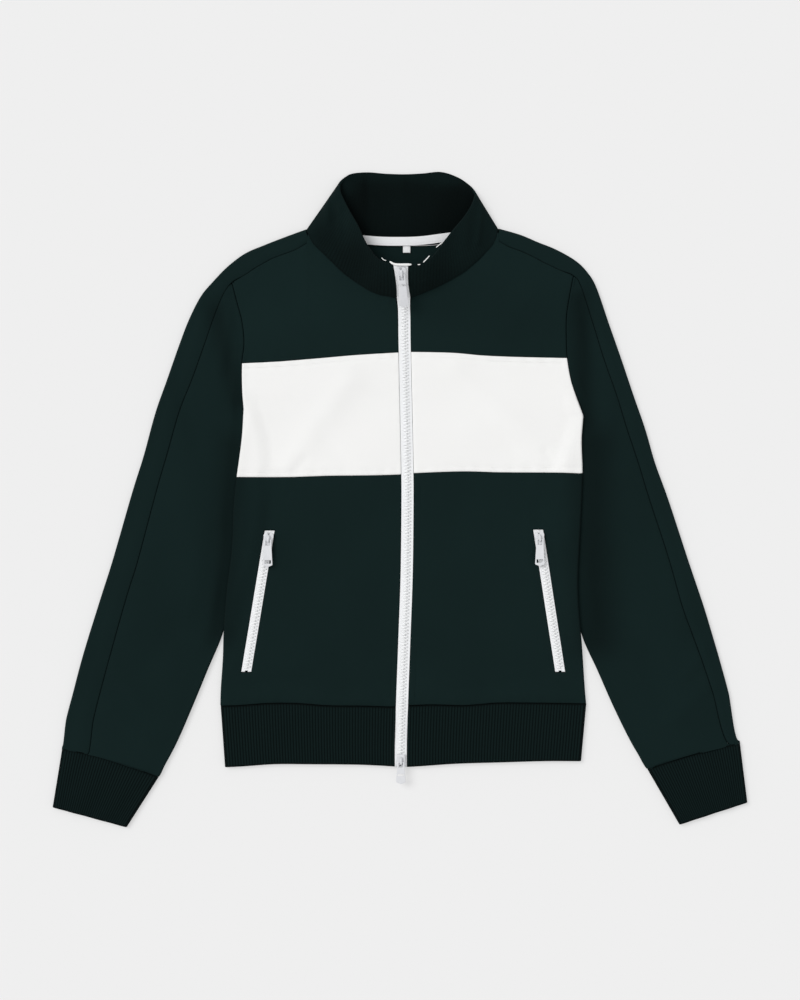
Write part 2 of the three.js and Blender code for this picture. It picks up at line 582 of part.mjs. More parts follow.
// The main zip's line: body rows by y, then the collar's front by height, with half the tape's width
function zipLine() {
  const rows = [-307, -282, -256, -230, -195, -161, -127, -92, -57, -23, 28, 70, 110, 150, 183, 205, 222];
  const line = rows.map((y) => {
    const x = at(ZIP_X, y);
    return { centre: new THREE.Vector3(x, y, bodyTop(x, y) - ZIP_SINK), half: ZIP_HALF - TAPE_GAP };
  });
  for (const up of [0.06, 0.22, 0.4, 0.6, 0.8, 1]) {
    const right = collarPoint(0, up);
    const left = collarPoint(1, up);
    const centre = right.clone().lerp(left, 0.5);
    centre.z -= ZIP_SINK;
    line.push({ centre, half: (left.x - right.x) / 2 - TAPE_GAP });
  }
  return line.map(({ centre, half }, number) => {
    const before = line[Math.max(number - 1, 0)].centre;
    const after = line[Math.min(number + 1, line.length - 1)].centre;
    const along = after.clone().sub(before).normalize();
    const across = new THREE.Vector3(1, 0, 0).addScaledVector(along, -along.x).normalize();
    return { centre, half, along, across, normal: across.clone().cross(along) };
  });
}

// A strip along a zip's line: each row's points by place across and height above the line
function strip(line, places, height, thickness) {
  const grid = line.map((frame) => places(frame).map(([place, rise = 0]) => frame.centre.clone()
    .addScaledVector(frame.across, place).addScaledVector(frame.normal, height + rise)));
  return wall(grid, thickness);
}

const coilPlaces = () => [[-COIL_WIDTH / 2, 0], [0, 0.4], [COIL_WIDTH / 2, 0]];
const mainLine = zipLine();
add("right_zip_tape", strip(mainLine, ({ half }) => [[-half], [-0.2]], 0, TAPE_CLOTH), TAPE);
add("left_zip_tape", strip(mainLine, ({ half }) => [[0.2], [half]], 0, TAPE_CLOTH), TAPE);
add("zip_coil", strip(mainLine.slice(0, -2), coilPlaces, COIL_HEIGHT + 0.3, COIL_HEIGHT), COIL);

// A zip's slider, along Y with its notched crown at +Y and Z up from the coil's top, with a bridge for its pull
const SLIDER = { length: 15, crown: 5.8, waist: 4.3, base: -1.4, top: 2, groove: 2.8, grooveTop: 0.6 };
const NOTCH = { mouth: 0.8, half: 2, neck: 0.9, depth: 3.1 };
const BRIDGE = { width: 2.2, length: 8.4, wall: 1.2, inside: 2.3 };
const PULL = { bar: 1.3, slot: 5.5, slotHalf: 2.5, neck: 4.3, end: 5.5, point: 2.4, height: 3.15, offset: 1.5 };
// A pull's second opening: half width, and where it starts and ends from the bar
const LOW_WINDOW = { half: 3.7, from: 23, to: 27 };
const SMILE = { half: 3.8, from: 13.6, to: 15.8 };

function solidOf(geometry) {
  for (const key of Object.keys(geometry.attributes)) {
    if (key !== "position") geometry.deleteAttribute(key);
  }
  const merged = mergeVertices(geometry, 1e-4);
  return new wasm.Manifold(new wasm.Mesh({
    numProp: 3,
    vertProperties: new Float32Array(merged.attributes.position.array),
    triVerts: new Uint32Array(merged.index.array),
  }));
}

function geometryOf(solid) {
  const mesh = solid.getMesh();
  const geometry = new THREE.BufferGeometry();
  geometry.setAttribute("position", new THREE.BufferAttribute(new Float32Array(mesh.vertProperties), 3));
  geometry.setIndex([...mesh.triVerts]);
  return geometry;
}

function sliderGeometry() {
  const half = SLIDER.length / 2;
  const outline = new THREE.Shape();
  outline.moveTo(-SLIDER.waist, -half);
  outline.lineTo(SLIDER.waist, -half);
  outline.quadraticCurveTo(SLIDER.waist, 0, SLIDER.crown, half * 0.35);
  outline.quadraticCurveTo(SLIDER.crown, half, NOTCH.mouth, half);
  outline.lineTo(NOTCH.half, half - NOTCH.depth * 0.4);
  outline.lineTo(NOTCH.neck, half - NOTCH.depth * 0.7);
  outline.lineTo(NOTCH.neck, half - NOTCH.depth);
  outline.lineTo(-NOTCH.neck, half - NOTCH.depth);
  outline.lineTo(-NOTCH.neck, half - NOTCH.depth * 0.7);
  outline.lineTo(-NOTCH.half, half - NOTCH.depth * 0.4);
  outline.lineTo(-NOTCH.mouth, half);
  outline.quadraticCurveTo(-SLIDER.crown, half, -SLIDER.crown, half * 0.35);
  outline.quadraticCurveTo(-SLIDER.waist, 0, -SLIDER.waist, -half);
  const plate = new THREE.ExtrudeGeometry(outline, {
    depth: SLIDER.top - SLIDER.base, bevelEnabled: false, curveSegments: 4,
  });
  plate.translate(0, 0, SLIDER.base);
  const groove = new THREE.BoxGeometry(SLIDER.groove * 2, SLIDER.length * 2, 4);
  groove.translate(0, 0, SLIDER.grooveTop - 2);

  const reach = BRIDGE.length / 2;
  const clear = BRIDGE.length / 2 - BRIDGE.wall;
  const low = SLIDER.top - 0.2;
  const high = SLIDER.top + BRIDGE.inside;
  const arch = new THREE.Shape();
  arch.moveTo(-reach, low);
  arch.lineTo(-clear, low);
  arch.lineTo(-clear, high);
  arch.lineTo(clear, high);
  arch.lineTo(clear, low);
  arch.lineTo(reach, low);
  arch.lineTo(reach, high);
  arch.lineTo(reach - BRIDGE.wall, high + BRIDGE.wall);
  arch.lineTo(-reach + BRIDGE.wall, high + BRIDGE.wall);
  arch.lineTo(-reach, high);
  const bridge = new THREE.ExtrudeGeometry(arch, { depth: BRIDGE.width, bevelEnabled: false });
  bridge.translate(0, 0, -BRIDGE.width / 2);
  bridge.applyMatrix4(new THREE.Matrix4().set(0, 0, 1, 0, 1, 0, 0, 0, 0, 1, 0, 0, 0, 0, 0, 1));
  return geometryOf(solidOf(plate).subtract(solidOf(groove)).add(solidOf(bridge)));
}

// A pull lies along -Y from its bar, which is the joint's axis, at the origin
function pullGeometry(length, opening) {
  const outline = new THREE.Shape();
  const barHalf = PULL.bar / 2;
  outline.moveTo(-PULL.neck, barHalf);
  outline.lineTo(-PULL.neck, -8);
  outline.lineTo(-PULL.end, -length + PULL.point + 0.8);
  outline.quadraticCurveTo(-PULL.end, -length + PULL.point, -PULL.end + 0.8, -length + PULL.point * 0.8);
  outline.lineTo(0, -length);
  outline.lineTo(PULL.end - 0.8, -length + PULL.point * 0.8);
  outline.quadraticCurveTo(PULL.end, -length + PULL.point, PULL.end, -length + PULL.point + 0.8);
  outline.lineTo(PULL.neck, -8);
  outline.lineTo(PULL.neck, barHalf);
  const window = (half, from, to) => {
    const hole = new THREE.Path();
    hole.moveTo(-half, from);
    hole.lineTo(-half, to);
    hole.lineTo(half, to);
    hole.lineTo(half, from);
    return hole;
  };
  outline.holes.push(window(PULL.slotHalf, -barHalf, -barHalf - PULL.slot));
  outline.holes.push(window(opening.half, -opening.from, -opening.to));
  const plate = new THREE.ExtrudeGeometry(outline, { depth: PULL.bar, bevelEnabled: false, curveSegments: 3 });
  plate.translate(0, 0, -barHalf);
  return plate;
}

// A slider and its pull at a frame on a zip. crown +1 faces along the line, -1 against it.
// The pull hangs against the line, turned in its own plane by swing.
function slider(name, frame, crown, length, swing, opening) {
  const basis = new THREE.Matrix4().makeBasis(frame.across, frame.along, frame.normal);
  const seat = frame.centre.clone().addScaledVector(frame.normal, COIL_HEIGHT + 0.3 + 0.4 - 0.1);
  const group = new THREE.Group();
  group.setRotationFromMatrix(basis);
  group.position.copy(seat);
  object.add(group);
  const body = new THREE.Mesh(sliderGeometry(), new THREE.MeshStandardMaterial(PAINT));
  body.name = `${name}_slider`;
  body.rotation.z = crown > 0 ? 0 : Math.PI;
  group.add(body);
  const pull = new THREE.Mesh(pullGeometry(length, opening), new THREE.MeshStandardMaterial(PAINT));
  pull.name = `${name}_pull`;
  pull.position.set(0, -PULL.offset, PULL.height);
  pull.rotation.z = swing * Math.PI / 180;
  group.add(pull);
}

const topFrame = mainLine[mainLine.length - 2];
slider("top", topFrame, 1, 38, 0, SMILE);
const bottomFrame = { ...mainLine[0], centre: mainLine[0].centre.clone().add(new THREE.Vector3(0, 7.5, 0)) };
slider("bottom", bottomFrame, -1, 25, 0, SMILE);

// A pocket's zip fills its opening in the lower front
function pocketZip(side, swing) {
  const { top, end } = side.pocket;
  const line = [0.004, 0.17, 0.34, 0.5, 0.67, 0.84, 0.996].map((share) => {
    const x = lerp(end[0], top[0], share);
    const y = lerp(end[1], top[1], share);
    const along = new THREE.Vector3(top[0] - end[0], top[1] - end[1], 0).normalize();
    return { centre: new THREE.Vector3(x, y, bodyTop(x, y) - ZIP_SINK), along,
      across: new THREE.Vector3(1, 0, 0), normal: new THREE.Vector3(0, 0, 1) };
  });
  const half = POCKET_HALF - TAPE_GAP;
  add(`${side.name}_pocket_tape`, strip(line, () => [[-half], [half]], 0, TAPE_CLOTH), TAPE);
  add(`${side.name}_pocket_coil`, strip(line.slice(0, -1), coilPlaces, COIL_HEIGHT + 0.3, COIL_HEIGHT), COIL);
  const along = line[0].along;
  const frame = { centre: line[6].centre.clone().addScaledVector(along, -9.5), along,
    across: new THREE.Vector3(along.y, -along.x, 0), normal: new THREE.Vector3(0, 0, 1) };
  slider(`${side.name}_pocket`, frame, 1, 31, swing, LOW_WINDOW);
}
pocketZip(RIGHT, 9);
pocketZip(LEFT, -9);

// The neck tape lies on the collar's inner face at the back, with a small tab below it on the back body
const tapeRows = [10.8, 0.4].map((up) => span(9).map((share) => {
  const x = lerp(-78, 88, share);
  return new THREE.Vector3(x, collarBaseBack(x) + up, COLLAR_CLOTH + SEAM);
}));
add("neck_tape", wall(tapeRows, 0.9), WHITE);
const tab = new THREE.BoxGeometry(8.5, 8, 0.7);
tab.translate(7.8, 287.2, CLOTH + 0.7);
add("size_tab", tab, WHITE);

export default object;
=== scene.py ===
# A zip-front track jacket laid flat on its back, seen from straight above.
# Sizes are millimetres until a mesh is made. X to the wearer's left, Y to the collar, Z up.
import math

import bmesh
import bpy
import numpy as np
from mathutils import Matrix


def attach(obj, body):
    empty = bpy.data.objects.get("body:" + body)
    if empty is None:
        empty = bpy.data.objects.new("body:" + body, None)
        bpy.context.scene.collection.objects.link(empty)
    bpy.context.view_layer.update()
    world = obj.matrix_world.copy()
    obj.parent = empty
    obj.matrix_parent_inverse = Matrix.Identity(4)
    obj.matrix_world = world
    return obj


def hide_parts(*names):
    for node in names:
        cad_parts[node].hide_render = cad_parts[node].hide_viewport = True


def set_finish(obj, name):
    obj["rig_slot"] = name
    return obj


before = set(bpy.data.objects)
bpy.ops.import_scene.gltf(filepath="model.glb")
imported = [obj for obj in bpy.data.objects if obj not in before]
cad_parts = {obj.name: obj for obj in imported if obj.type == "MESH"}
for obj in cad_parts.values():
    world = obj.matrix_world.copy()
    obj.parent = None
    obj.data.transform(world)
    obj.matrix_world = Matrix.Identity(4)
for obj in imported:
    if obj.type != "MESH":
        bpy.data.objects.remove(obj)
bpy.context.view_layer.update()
mm = 0.001

# Sizes shared by the pieces
cut = {
    "cloth": 1.6, "ribCloth": 2.2, "collarCloth": 3.0, "seam": 0.2, "bodyTop": 6.1, "tuckedTop": 3.5,
    "bodyLift": 4.0, "tuckedBody": 4.7, "neckRise": 2.6, "foldTail": 5.0, "armholeTurn": 35.0,
    "backShift": 2.4, "zipHalf": 7.0, "zipSink": 0.5, "tapeCloth": 1.1, "pocketHalf": 6.0, "edgeRound": 0.45,
}

# Seam lines across the front: x, y
hemSeamLine = [[-206, -237], [-186, -236.5], [-151, -234], [-118, -234], [-84, -236.5], [-43, -237],
               [-4, -238], [11, -236.5], [38, -235.5], [72, -236.5], [88, -235.5], [112, -233.5],
               [150, -233.5], [183, -234], [214, -234.5]]
hemEndLine = [[-201, -307.5], [-181, -306.5], [-144, -304], [-99, -304], [-49, -304.5], [-24, -305.5],
              [-7, -306.5], [11, -307], [63, -303.5], [112, -302], [164, -300.5], [208, -300.5]]
chestEndLine = [[-188, 25.5], [-129, 25.5], [-82, 27], [-34, 27.5], [0, 28.5], [16, 30], [72, 32], [114, 31],
                [183, 30.5], [210, 29.5]]
chestTopLine = [[-182, 156.5], [-140, 158.5], [-96, 162], [-50, 166], [0, 169], [13, 169.5], [61, 168.5],
                [95, 165.5], [128, 164], [192, 162.5]]
# The main zip's middle: y, x
zipMiddleLine = [[-307.5, 1], [-282, 1], [-230, 2.5], [-161, 5], [-92, 7.5], [-23, 8.5], [28, 8.5],
                 [183, 5.2], [218, 4.7], [252, 2.2], [273, 1]]

# Each side from the top down. sleeve: seam x, seam y, outer fold x, outer fold y. armhole, inner, edge: y, x
right = {
    "name": "right", "sign": -1, "underarm": 104,
    "sleeve": [[-107, 293.4, -107.6, 310.2], [-120.5, 286, -129, 302.5], [-144, 277.5, -155, 292.5],
               [-162, 268, -178, 282.5], [-179, 257, -198, 267.5], [-193, 249, -215, 250],
               [-203.5, 234, -229, 233], [-214, 208.5, -242.5, 206.5], [-224, 179, -254, 176.5],
               [-238.5, 138.5, -268, 136.5], [-253, 102, -281, 99.5], [-267, 52.5, -294.5, 50],
               [-279.5, 10, -307.5, 8.5], [-300.5, -69.5, -330, -69.5], [-313.5, -111, -343.5, -112],
               [-332, -176.5, -363.5, -176.5], [-344, -221.5, -375.5, -221.5],
               [-352.5, -256.5, -384, -254.5], [-358, -290.5, -388.5, -283.5]],
    "armhole": [[249, -193], [226, -187], [205, -181.5], [179, -179], [157, -181.5], [128, -181.5],
                [104, -179.5]],
    "inner": [[104, -179.5], [77, -170], [50, -165.5], [10, -166], [-29, -170], [-69, -179], [-112, -191.5],
              [-157, -204.5], [-194, -220], [-240, -239], [-282, -257.5], [-318, -277]],
    "edge": [[104, -179.5], [72, -181.5], [44, -185], [26, -187.5], [-6, -191], [-56, -193], [-106, -199],
             [-153, -202.5], [-181, -203.5], [-218, -206], [-237, -206.5]],
    "cuffOuter": (-388, -286), "cuffInner": (-277, -318.5), "cuffBow": 4, "cuffOuterEnd": (-399, -353.5),
    "cuffInnerEnd": (-314, -376.5), "hemTop": -206, "hemEnd": -201,
    "pocketTop": (-149.5, -35), "pocketEnd": (-176.5, -198.5),
}
left = {
    "name": "left", "sign": 1, "underarm": 96,
    "sleeve": [[113.6, 295.8, 113.4, 311], [124, 290, 138, 304], [144, 282.5, 158.5, 295.5],
               [167, 271, 179.5, 287], [184, 263, 202, 274], [199, 257, 216, 260], [208, 244, 226, 242.5],
               [221.5, 202, 240.5, 200.5], [234, 161.5, 254.5, 160.5], [249, 119, 269, 117.5],
               [261, 80, 282, 80], [273.5, 42, 293, 42], [286.5, -0.5, 308.5, -1],
               [309, -69.5, 331, -69.5], [323.5, -121.5, 348.5, -121.5], [336, -156, 359, -156],
               [348.5, -190.5, 369, -190.5], [360.5, -226, 378.5, -226], [381, -279, 390.5, -277.5]],
    "armhole": [[257, 199], [230.5, 194], [208.5, 191], [179, 191], [162, 192], [136.5, 196.5], [118, 202.5],
                [96, 210.5]],
    "inner": [[96, 210.5], [74, 204.5], [47, 195.5], [11, 188], [-29, 187], [-69, 191], [-115, 199],
              [-158, 209.5], [-196, 226.5], [-240, 246], [-282, 267], [-309, 284]],
    "edge": [[96, 210.5], [68, 208.5], [30, 209.5], [-31, 207], [-93, 204], [-130, 205.5], [-156, 208],
             [-181, 210], [-218, 212.5], [-235, 214]],
    "cuffOuter": (390.5, -279.5), "cuffInner": (284, -309.5), "cuffBow": 2.6, "cuffOuterEnd": (399, -348),
    "cuffInnerEnd": (321, -373.5), "hemTop": 214, "hemEnd": 208,
    "pocketTop": (158.5, -34), "pocketEnd": (184, -198.5),
}
sides = [right, left]
for side in sides:
    # the shoulder's seam is the sleeve's first six seam points, from the armhole to the collar
    side["shoulder"] = [row[:2] for row in side["sleeve"][5::-1]]

# The collar, round from the right zip edge to the left one:
# base x, base y, base z, top x, top y, top z, bulge
collarRows = [
    [-4, 230.5, 9.5, -8, 267.2, 36, 6], [-27.5, 235.5, 9.5, -25, 272.4, 36, 6],
    [-46, 245.5, 9.5, -38, 289, 32, 5], [-65.5, 259.5, 9.5, -47.5, 311, 27, 4],
    [-85, 278.5, 9.5, -57.5, 328.5, 21, 3], [-99, 292, 9.5, -65, 344.5, 16.5, 2],
    [-105, 303, 9, -69, 355, 13, 0.5], [-107.5, 309.5, 4.8, -69.5, 363.5, 7, 0],
    [-101, 306.5, 0, -64.5, 369.8, 2, 0], [-86, 302, 0, -55, 374.5, 0.5, 0],
    [-57.5, 296, 0, -37, 376, 0, 0], [-25.5, 292.5, 0, -16, 374.4, 0, 0], [6, 292, 0, 6, 373.8, 0, 0],
    [37, 292.5, 0, 26.5, 374.8, 0, 0], [68, 296, 0, 47, 376.4, 0, 0], [95.5, 302, 0, 66, 370.5, 0.5, 0],
    [107.5, 307.5, 0, 80.5, 361, 2, 0], [112.3, 311, 4.8, 87, 352, 7, 0],
    [111.3, 304, 9, 86, 346.5, 13, 0.5], [106, 292, 9.5, 83, 338.5, 16.5, 2],
    [95, 279.5, 9.5, 74.7, 324.8, 21, 3], [76.5, 263, 9.5, 64.5, 311, 27, 4],
    [54, 249, 9.5, 53, 295.5, 32, 5], [31, 238, 9.5, 33, 272.4, 36, 6],
    [12.4, 230.5, 9.5, 9.6, 265.6, 36, 6],
]

# Soft folds of the collar's standing part: x1, y1, x2, y2, half width, height
collarFolds = [
    [94, 337, 89, 294, 3.4, 1.7], [84, 322, 82, 290, 6, -1.6], [-84, 343, -84, 318, 4, 1.5],
    [-77, 338, -75, 322, 4, -1.6], [-70, 333, -69, 302, 4, 1.4], [-62, 302, -30, 262, 9, -1.3],
    [58, 287, 30, 257, 9, -0.9], [70, 268, 40, 250, 8, 0.8], [-95, 290, -60, 262, 7, 0.9],
]
# Painted shade and light on the collar's outer and inner face, where it lies darker or lighter: x, y, half
# width, half length, amount
collarOuterPaintedShade = [
    [-56, 274, 36, 32, -0.42], [-17, 241, 26, 22, -0.22], [34, 258, 36, 22, -0.28],
    [92, 298, 13, 26, -0.12], [-90, 300, 16, 18, -0.2], [-80, 338, 9, 16, 0.06], [-62, 316, 7, 20, 0.1],
    [-76, 320, 5, 16, -0.14], [24, 236, 20, 10, -0.1], ]
collarInnerPaintedShade = [
    [0, 325, 200, 200, -0.33], [-51, 318, 11, 24, -0.35], [68, 336, 20, 22, -0.4], [-41, 350, 4, 20, -0.3],
    [0, 374, 80, 11, 0.3], [60, 366, 24, 8, 0.2], [-60, 358, 8, 9, 0.2], [52, 310, 16, 16, -0.2],
    [-48, 298, 14, 12, -0.25], [-4, 336, 16, 30, 0.08], [4, 302, 60, 5, -0.12], [6, 366, 5, 14, -0.08],
]

# Creases and soft ridges on the upper faces: x1, y1, x2, y2, half width, height
creases = [
    [-214, 216, -184, 114, 13, -2.2], [218, 230, 214, 92, 13, -2.2], [-58, 137, -125, 41, 15, 1.6],
    [63, 147, 184, 43, 16, 1.7], [-250, 60, -226, -110, 20, 1.6], [262, 20, 285, -110, 22, 1.6],
    [-290, -190, -262, -150, 16, -1.6], [300, -230, 284, -180, 16, -1.6], [-120, -60, -60, -200, 22, -1.2],
    [60, -40, 110, -190, 24, -1.2], [-330, -240, -290, -275, 12, 1.8], [318, -250, 352, -215, 12, 1.8],
    [-110, 45, -124, 31, 6, -1.0], [168, 55, 176, 40, 6, -1.0], [-150, -10, -150, -28, 9, -1.2],
    [160, -8, 160, -26, 9, -1.2], [-150, 230, -110, 180, 14, 1.0], [150, 235, 112, 182, 14, 1.0],
    [-262, 150, -232, 60, 11, -1.2], [262, 130, 244, 40, 11, -1.3], [-196, 210, -206, 150, 8, 1.5],
    [204, 205, 212, 150, 8, 1.4], [-215, -40, -230, -140, 10, -1.4], [216, -20, 232, -140, 10, -1.6],
    [-310, -150, -285, -60, 14, 1.2], [318, -140, 300, -50, 13, 1.1], [-300, -230, -330, -190, 9, 1.2],
    [330, -200, 352, -170, 8, 1.2], [180, 22, 181, -32, 9, -1.4], [-60, -215, 10, -205, 10, -0.9],
    [100, -214, 160, -206, 10, -1.0], [-170, -212, -110, -206, 9, -0.9], [-90, 80, -60, 40, 12, -0.7],
    [95, 100, 130, 60, 12, -0.7], [-244, 190, -216, 215, 8, 0.9], [236, 190, 214, 222, 8, 0.9],
]
# Painted shade and light in the knit's colour, darker along creases and beside the body's edges and lighter
# on one side of the yoke: x1, y1, x2, y2, half width, amount
paintedShades = [
    [218, 60, 226, -160, 26, -0.42], [-192, 60, -206, -150, 18, -0.3], [-212, 216, -184, 114, 12, -0.3],
    [206, 228, 212, 92, 13, -0.35], [60, 230, 170, 200, 40, -0.08], [-60, 230, -160, 200, 40, 0.07],
]
rippleSeed = np.random.default_rng(7)
rippleTurn = rippleSeed.uniform(0, 2 * math.pi, 9)
rippleLength = rippleSeed.uniform(45, 150, 9)
ripplePhase = rippleSeed.uniform(0, 2 * math.pi, 9)


def ease(share):
    # a smooth step: three shares squared less two cubed, held from 0 to 1
    share = np.clip(share, 0, 1)
    return share * share * (3 - 2 * share)


def lerp(start, end, share):
    return start + (end - start) * share


def curve(table, place):
    # the second column at a place in the first, on a cubic through the rows with the neighbours' slopes
    rows = np.array(table, float)
    if rows[0, 0] > rows[-1, 0]:
        rows = rows[::-1]
    first, second = rows[:, 0], rows[:, 1]
    place = np.clip(place, first[0], first[-1])
    index = np.clip(np.searchsorted(first, place), 1, len(first) - 1)
    before = np.maximum(index - 2, 0)
    after = np.minimum(index + 1, len(first) - 1)
    width = first[index] - first[index - 1]
    slopeIn = (second[index] - second[before]) / (first[index] - first[before]) * width
    slopeOut = (second[after] - second[index - 1]) / (first[after] - first[index - 1]) * width
    t = (place - first[index - 1]) / width
    return (second[index - 1] * (1 + 2 * t) * (1 - t) ** 2 + slopeIn * t * (1 - t) ** 2
            + second[index] * t * t * (3 - 2 * t) - slopeOut * t * t * (1 - t))


def rowsAt(table, share):
    # every column of a table between its rows by number, as a cubic with half the neighbours' difference
    rows = np.array(table, float)
    place = np.clip(share, 0, 1) * (len(rows) - 1)
    index = np.minimum(np.floor(place).astype(int), len(rows) - 2)
    t = (place - index)[..., None]
    here, following = rows[index], rows[index + 1]
    slopeIn = (following - rows[np.maximum(index - 1, 0)]) / 2
    slopeOut = (rows[np.minimum(index + 2, len(rows) - 1)] - here) / 2
    return (here * (1 + 2 * t) * (1 - t) ** 2 + slopeIn * t * (1 - t) ** 2
            + following * t * t * (3 - 2 * t) - slopeOut * t * t * (1 - t))


def spaced(length, step, near=(0, 0.25, 0.6, 1.1, 1.8, 2.8, 4.2, 6)):
    # shares from 0 to 1 a step apart, closer together near both ends
    near = np.array(near) / length
    count = max(int((1 - 2 * near[-1]) * length / step), 2)
    middle = np.linspace(near[-1], 1 - near[-1], count + 1)
    return np.concatenate([near[:-1], middle, 1 - near[:-1][::-1]])


def bells(table, x, y):
    # each row adds a bell curve of the distance to its line: x1, y1, x2, y2, half width, amount
    total = np.zeros(np.broadcast(x, y).shape)
    for x1, y1, x2, y2, width, amount in table:
        toX, toY = x2 - x1, y2 - y1
        along = np.clip(((x - x1) * toX + (y - y1) * toY) / (toX ** 2 + toY ** 2), 0, 1)
        away = np.hypot(x - lerp(x1, x2, along), y - lerp(y1, y2, along))
        total += amount * np.exp(-(away / width) ** 2)
    return total


def creaseHeight(x, y):
    # the creases, and a ripple of sines with seeded turns and lengths
    height = bells(creases, x, y)
    for turn, length, phase in zip(rippleTurn, rippleLength, ripplePhase):
        height += 0.16 * np.sin((x * math.cos(turn) + y * math.sin(turn)) / length * 2 * math.pi + phase)
    return height


def underBody(side, y):
    return ease((side["underarm"] + 36 - y) / 30)


def innerX(side, y):
    return np.where(y > side["underarm"], curve(side["armhole"], y), curve(side["inner"], y))


def edgeX(side, y):
    return np.where(y > side["underarm"], curve(side["armhole"], y), curve(side["edge"], y))


def bodyBottom(x, y):
    # the body's underside rises smoothly where the sleeve lies under its edge
    lift = np.zeros(np.broadcast(x, y).shape)
    for side in sides:
        clear = (innerX(side, y) - x) * side["sign"]
        here = cut["bodyLift"] * underBody(side, y) * (1 - ease((clear - 2) / 18))
        lift = np.where(x * side["sign"] > 4 * side["sign"], here, lift)
    return lift


def bodyHeight(x, y):
    # the front's outer face: its layers, the lift over the sleeve, the rise at the neck and the creases
    lift = bodyBottom(x, y)
    ring = np.hypot((x - 4) / 112, (y - 309) / 78)
    neck = cut["neckRise"] * np.exp(-((np.maximum(ring - 1, 0) * 95 / 24) ** 2))
    inside = np.where(x < 4, ease((x - edgeX(right, y)) / 12), ease((edgeX(left, y) - x) / 12))
    slope = 1 - (cut["bodyTop"] - cut["tuckedBody"]) / cut["bodyLift"]
    blouse = 2.4 * np.exp(-((y - curve(hemSeamLine, x) - 9) / 9) ** 2) * (0.75 + 0.25 * np.sin(x / 9.0))
    return cut["bodyTop"] + lift * slope + neck + (creaseHeight(x, y) + blouse) * inside


def sleeveHeight(side, x, y):
    clear = (x - edgeX(side, y)) * side["sign"]
    low = (cut["bodyTop"] - cut["tuckedTop"]) * underBody(side, y) * (1 - ease((clear - 1.5) / 14))
    return cut["bodyTop"] - low + creaseHeight(x, y) * ease((clear - 4) / 12)


def turnAt(side, y):
    return lerp(cut["armholeTurn"], 180, ease((side["underarm"] + 30 - y) / 28))


def underRoll(side, y):
    return ease((side["underarm"] + 22 - y) / 18)


def groove(distance, place, width, depth):
    # a sewn channel: a bell curve sunk at a distance from the edge
    return -depth * np.exp(-((distance - place) / width) ** 2)


def seamDrop(distance):
    # the cloth turns down into its seam
    return -0.5 * np.exp(-(distance / 1.0) ** 2) - 0.3 * np.exp(-(distance / 4.5) ** 2)


def pucker(along, distance, reach=9, size=0.22):
    # short ripples across a seam, fading away from it, with two lengths that drift in and out of step
    wave = np.sin(along / 5.3 * 2 + 1.7 * np.sin(along / 41))
    wave = wave + 0.7 * np.sin(along / 3.1 + 2 * np.sin(along / 67))
    return size * wave * np.exp(-(distance / reach) ** 2)


def meshOf(name, points, faces, uv=None, marks=None):
    # an object at the origin from points in millimetres, four-cornered faces, and values for each point
    mesh = bpy.data.meshes.new(name)
    mesh.vertices.add(len(points))
    mesh.vertices.foreach_set("co", (points * mm).astype(np.float32).ravel())
    mesh.loops.add(faces.size)
    mesh.loops.foreach_set("vertex_index", faces.astype(np.int32).ravel())
    mesh.polygons.add(len(faces))
    mesh.polygons.foreach_set("loop_start", np.arange(0, faces.size, faces.shape[1], dtype=np.int32))
    mesh.update(calc_edges=True)
    mesh.polygons.foreach_set("use_smooth", np.ones(len(faces), dtype=bool))
    if uv is not None:
        layer = mesh.uv_layers.new(name="cloth")
        layer.uv.foreach_set("vector", uv[faces.ravel()].astype(np.float32).ravel())
    for mark, values in (marks or {}).items():
        mesh.attributes.new(mark, "FLOAT", "POINT").data.foreach_set("value", values.astype(np.float32))
    mesh.validate()
    piece = bpy.data.objects.new(name, mesh)
    bpy.context.scene.collection.objects.link(piece)
    return piece


def normalsOf(points, ring=False):
    # unit vectors square to the surface, from the differences along both ways of the grid
    if ring:
        wide = np.concatenate([points[:, -1:], points, points[:, :1]], axis=1)
        across = wide[:, 2:] - wide[:, :-2]
    else:
        across = np.gradient(points, axis=1)
    along = np.gradient(points, axis=0)
    normal = np.cross(across, along)
    return normal / np.maximum(np.linalg.norm(normal, axis=2, keepdims=True), 1e-9)


def walked(points, axis):
    # the distance walked along the grid from its first row or column
    step = np.linalg.norm(np.diff(points, axis=axis), axis=2)
    start = np.zeros_like(np.take(step, [0], axis=axis))
    return np.concatenate([start, np.cumsum(step, axis=axis)], axis=axis)


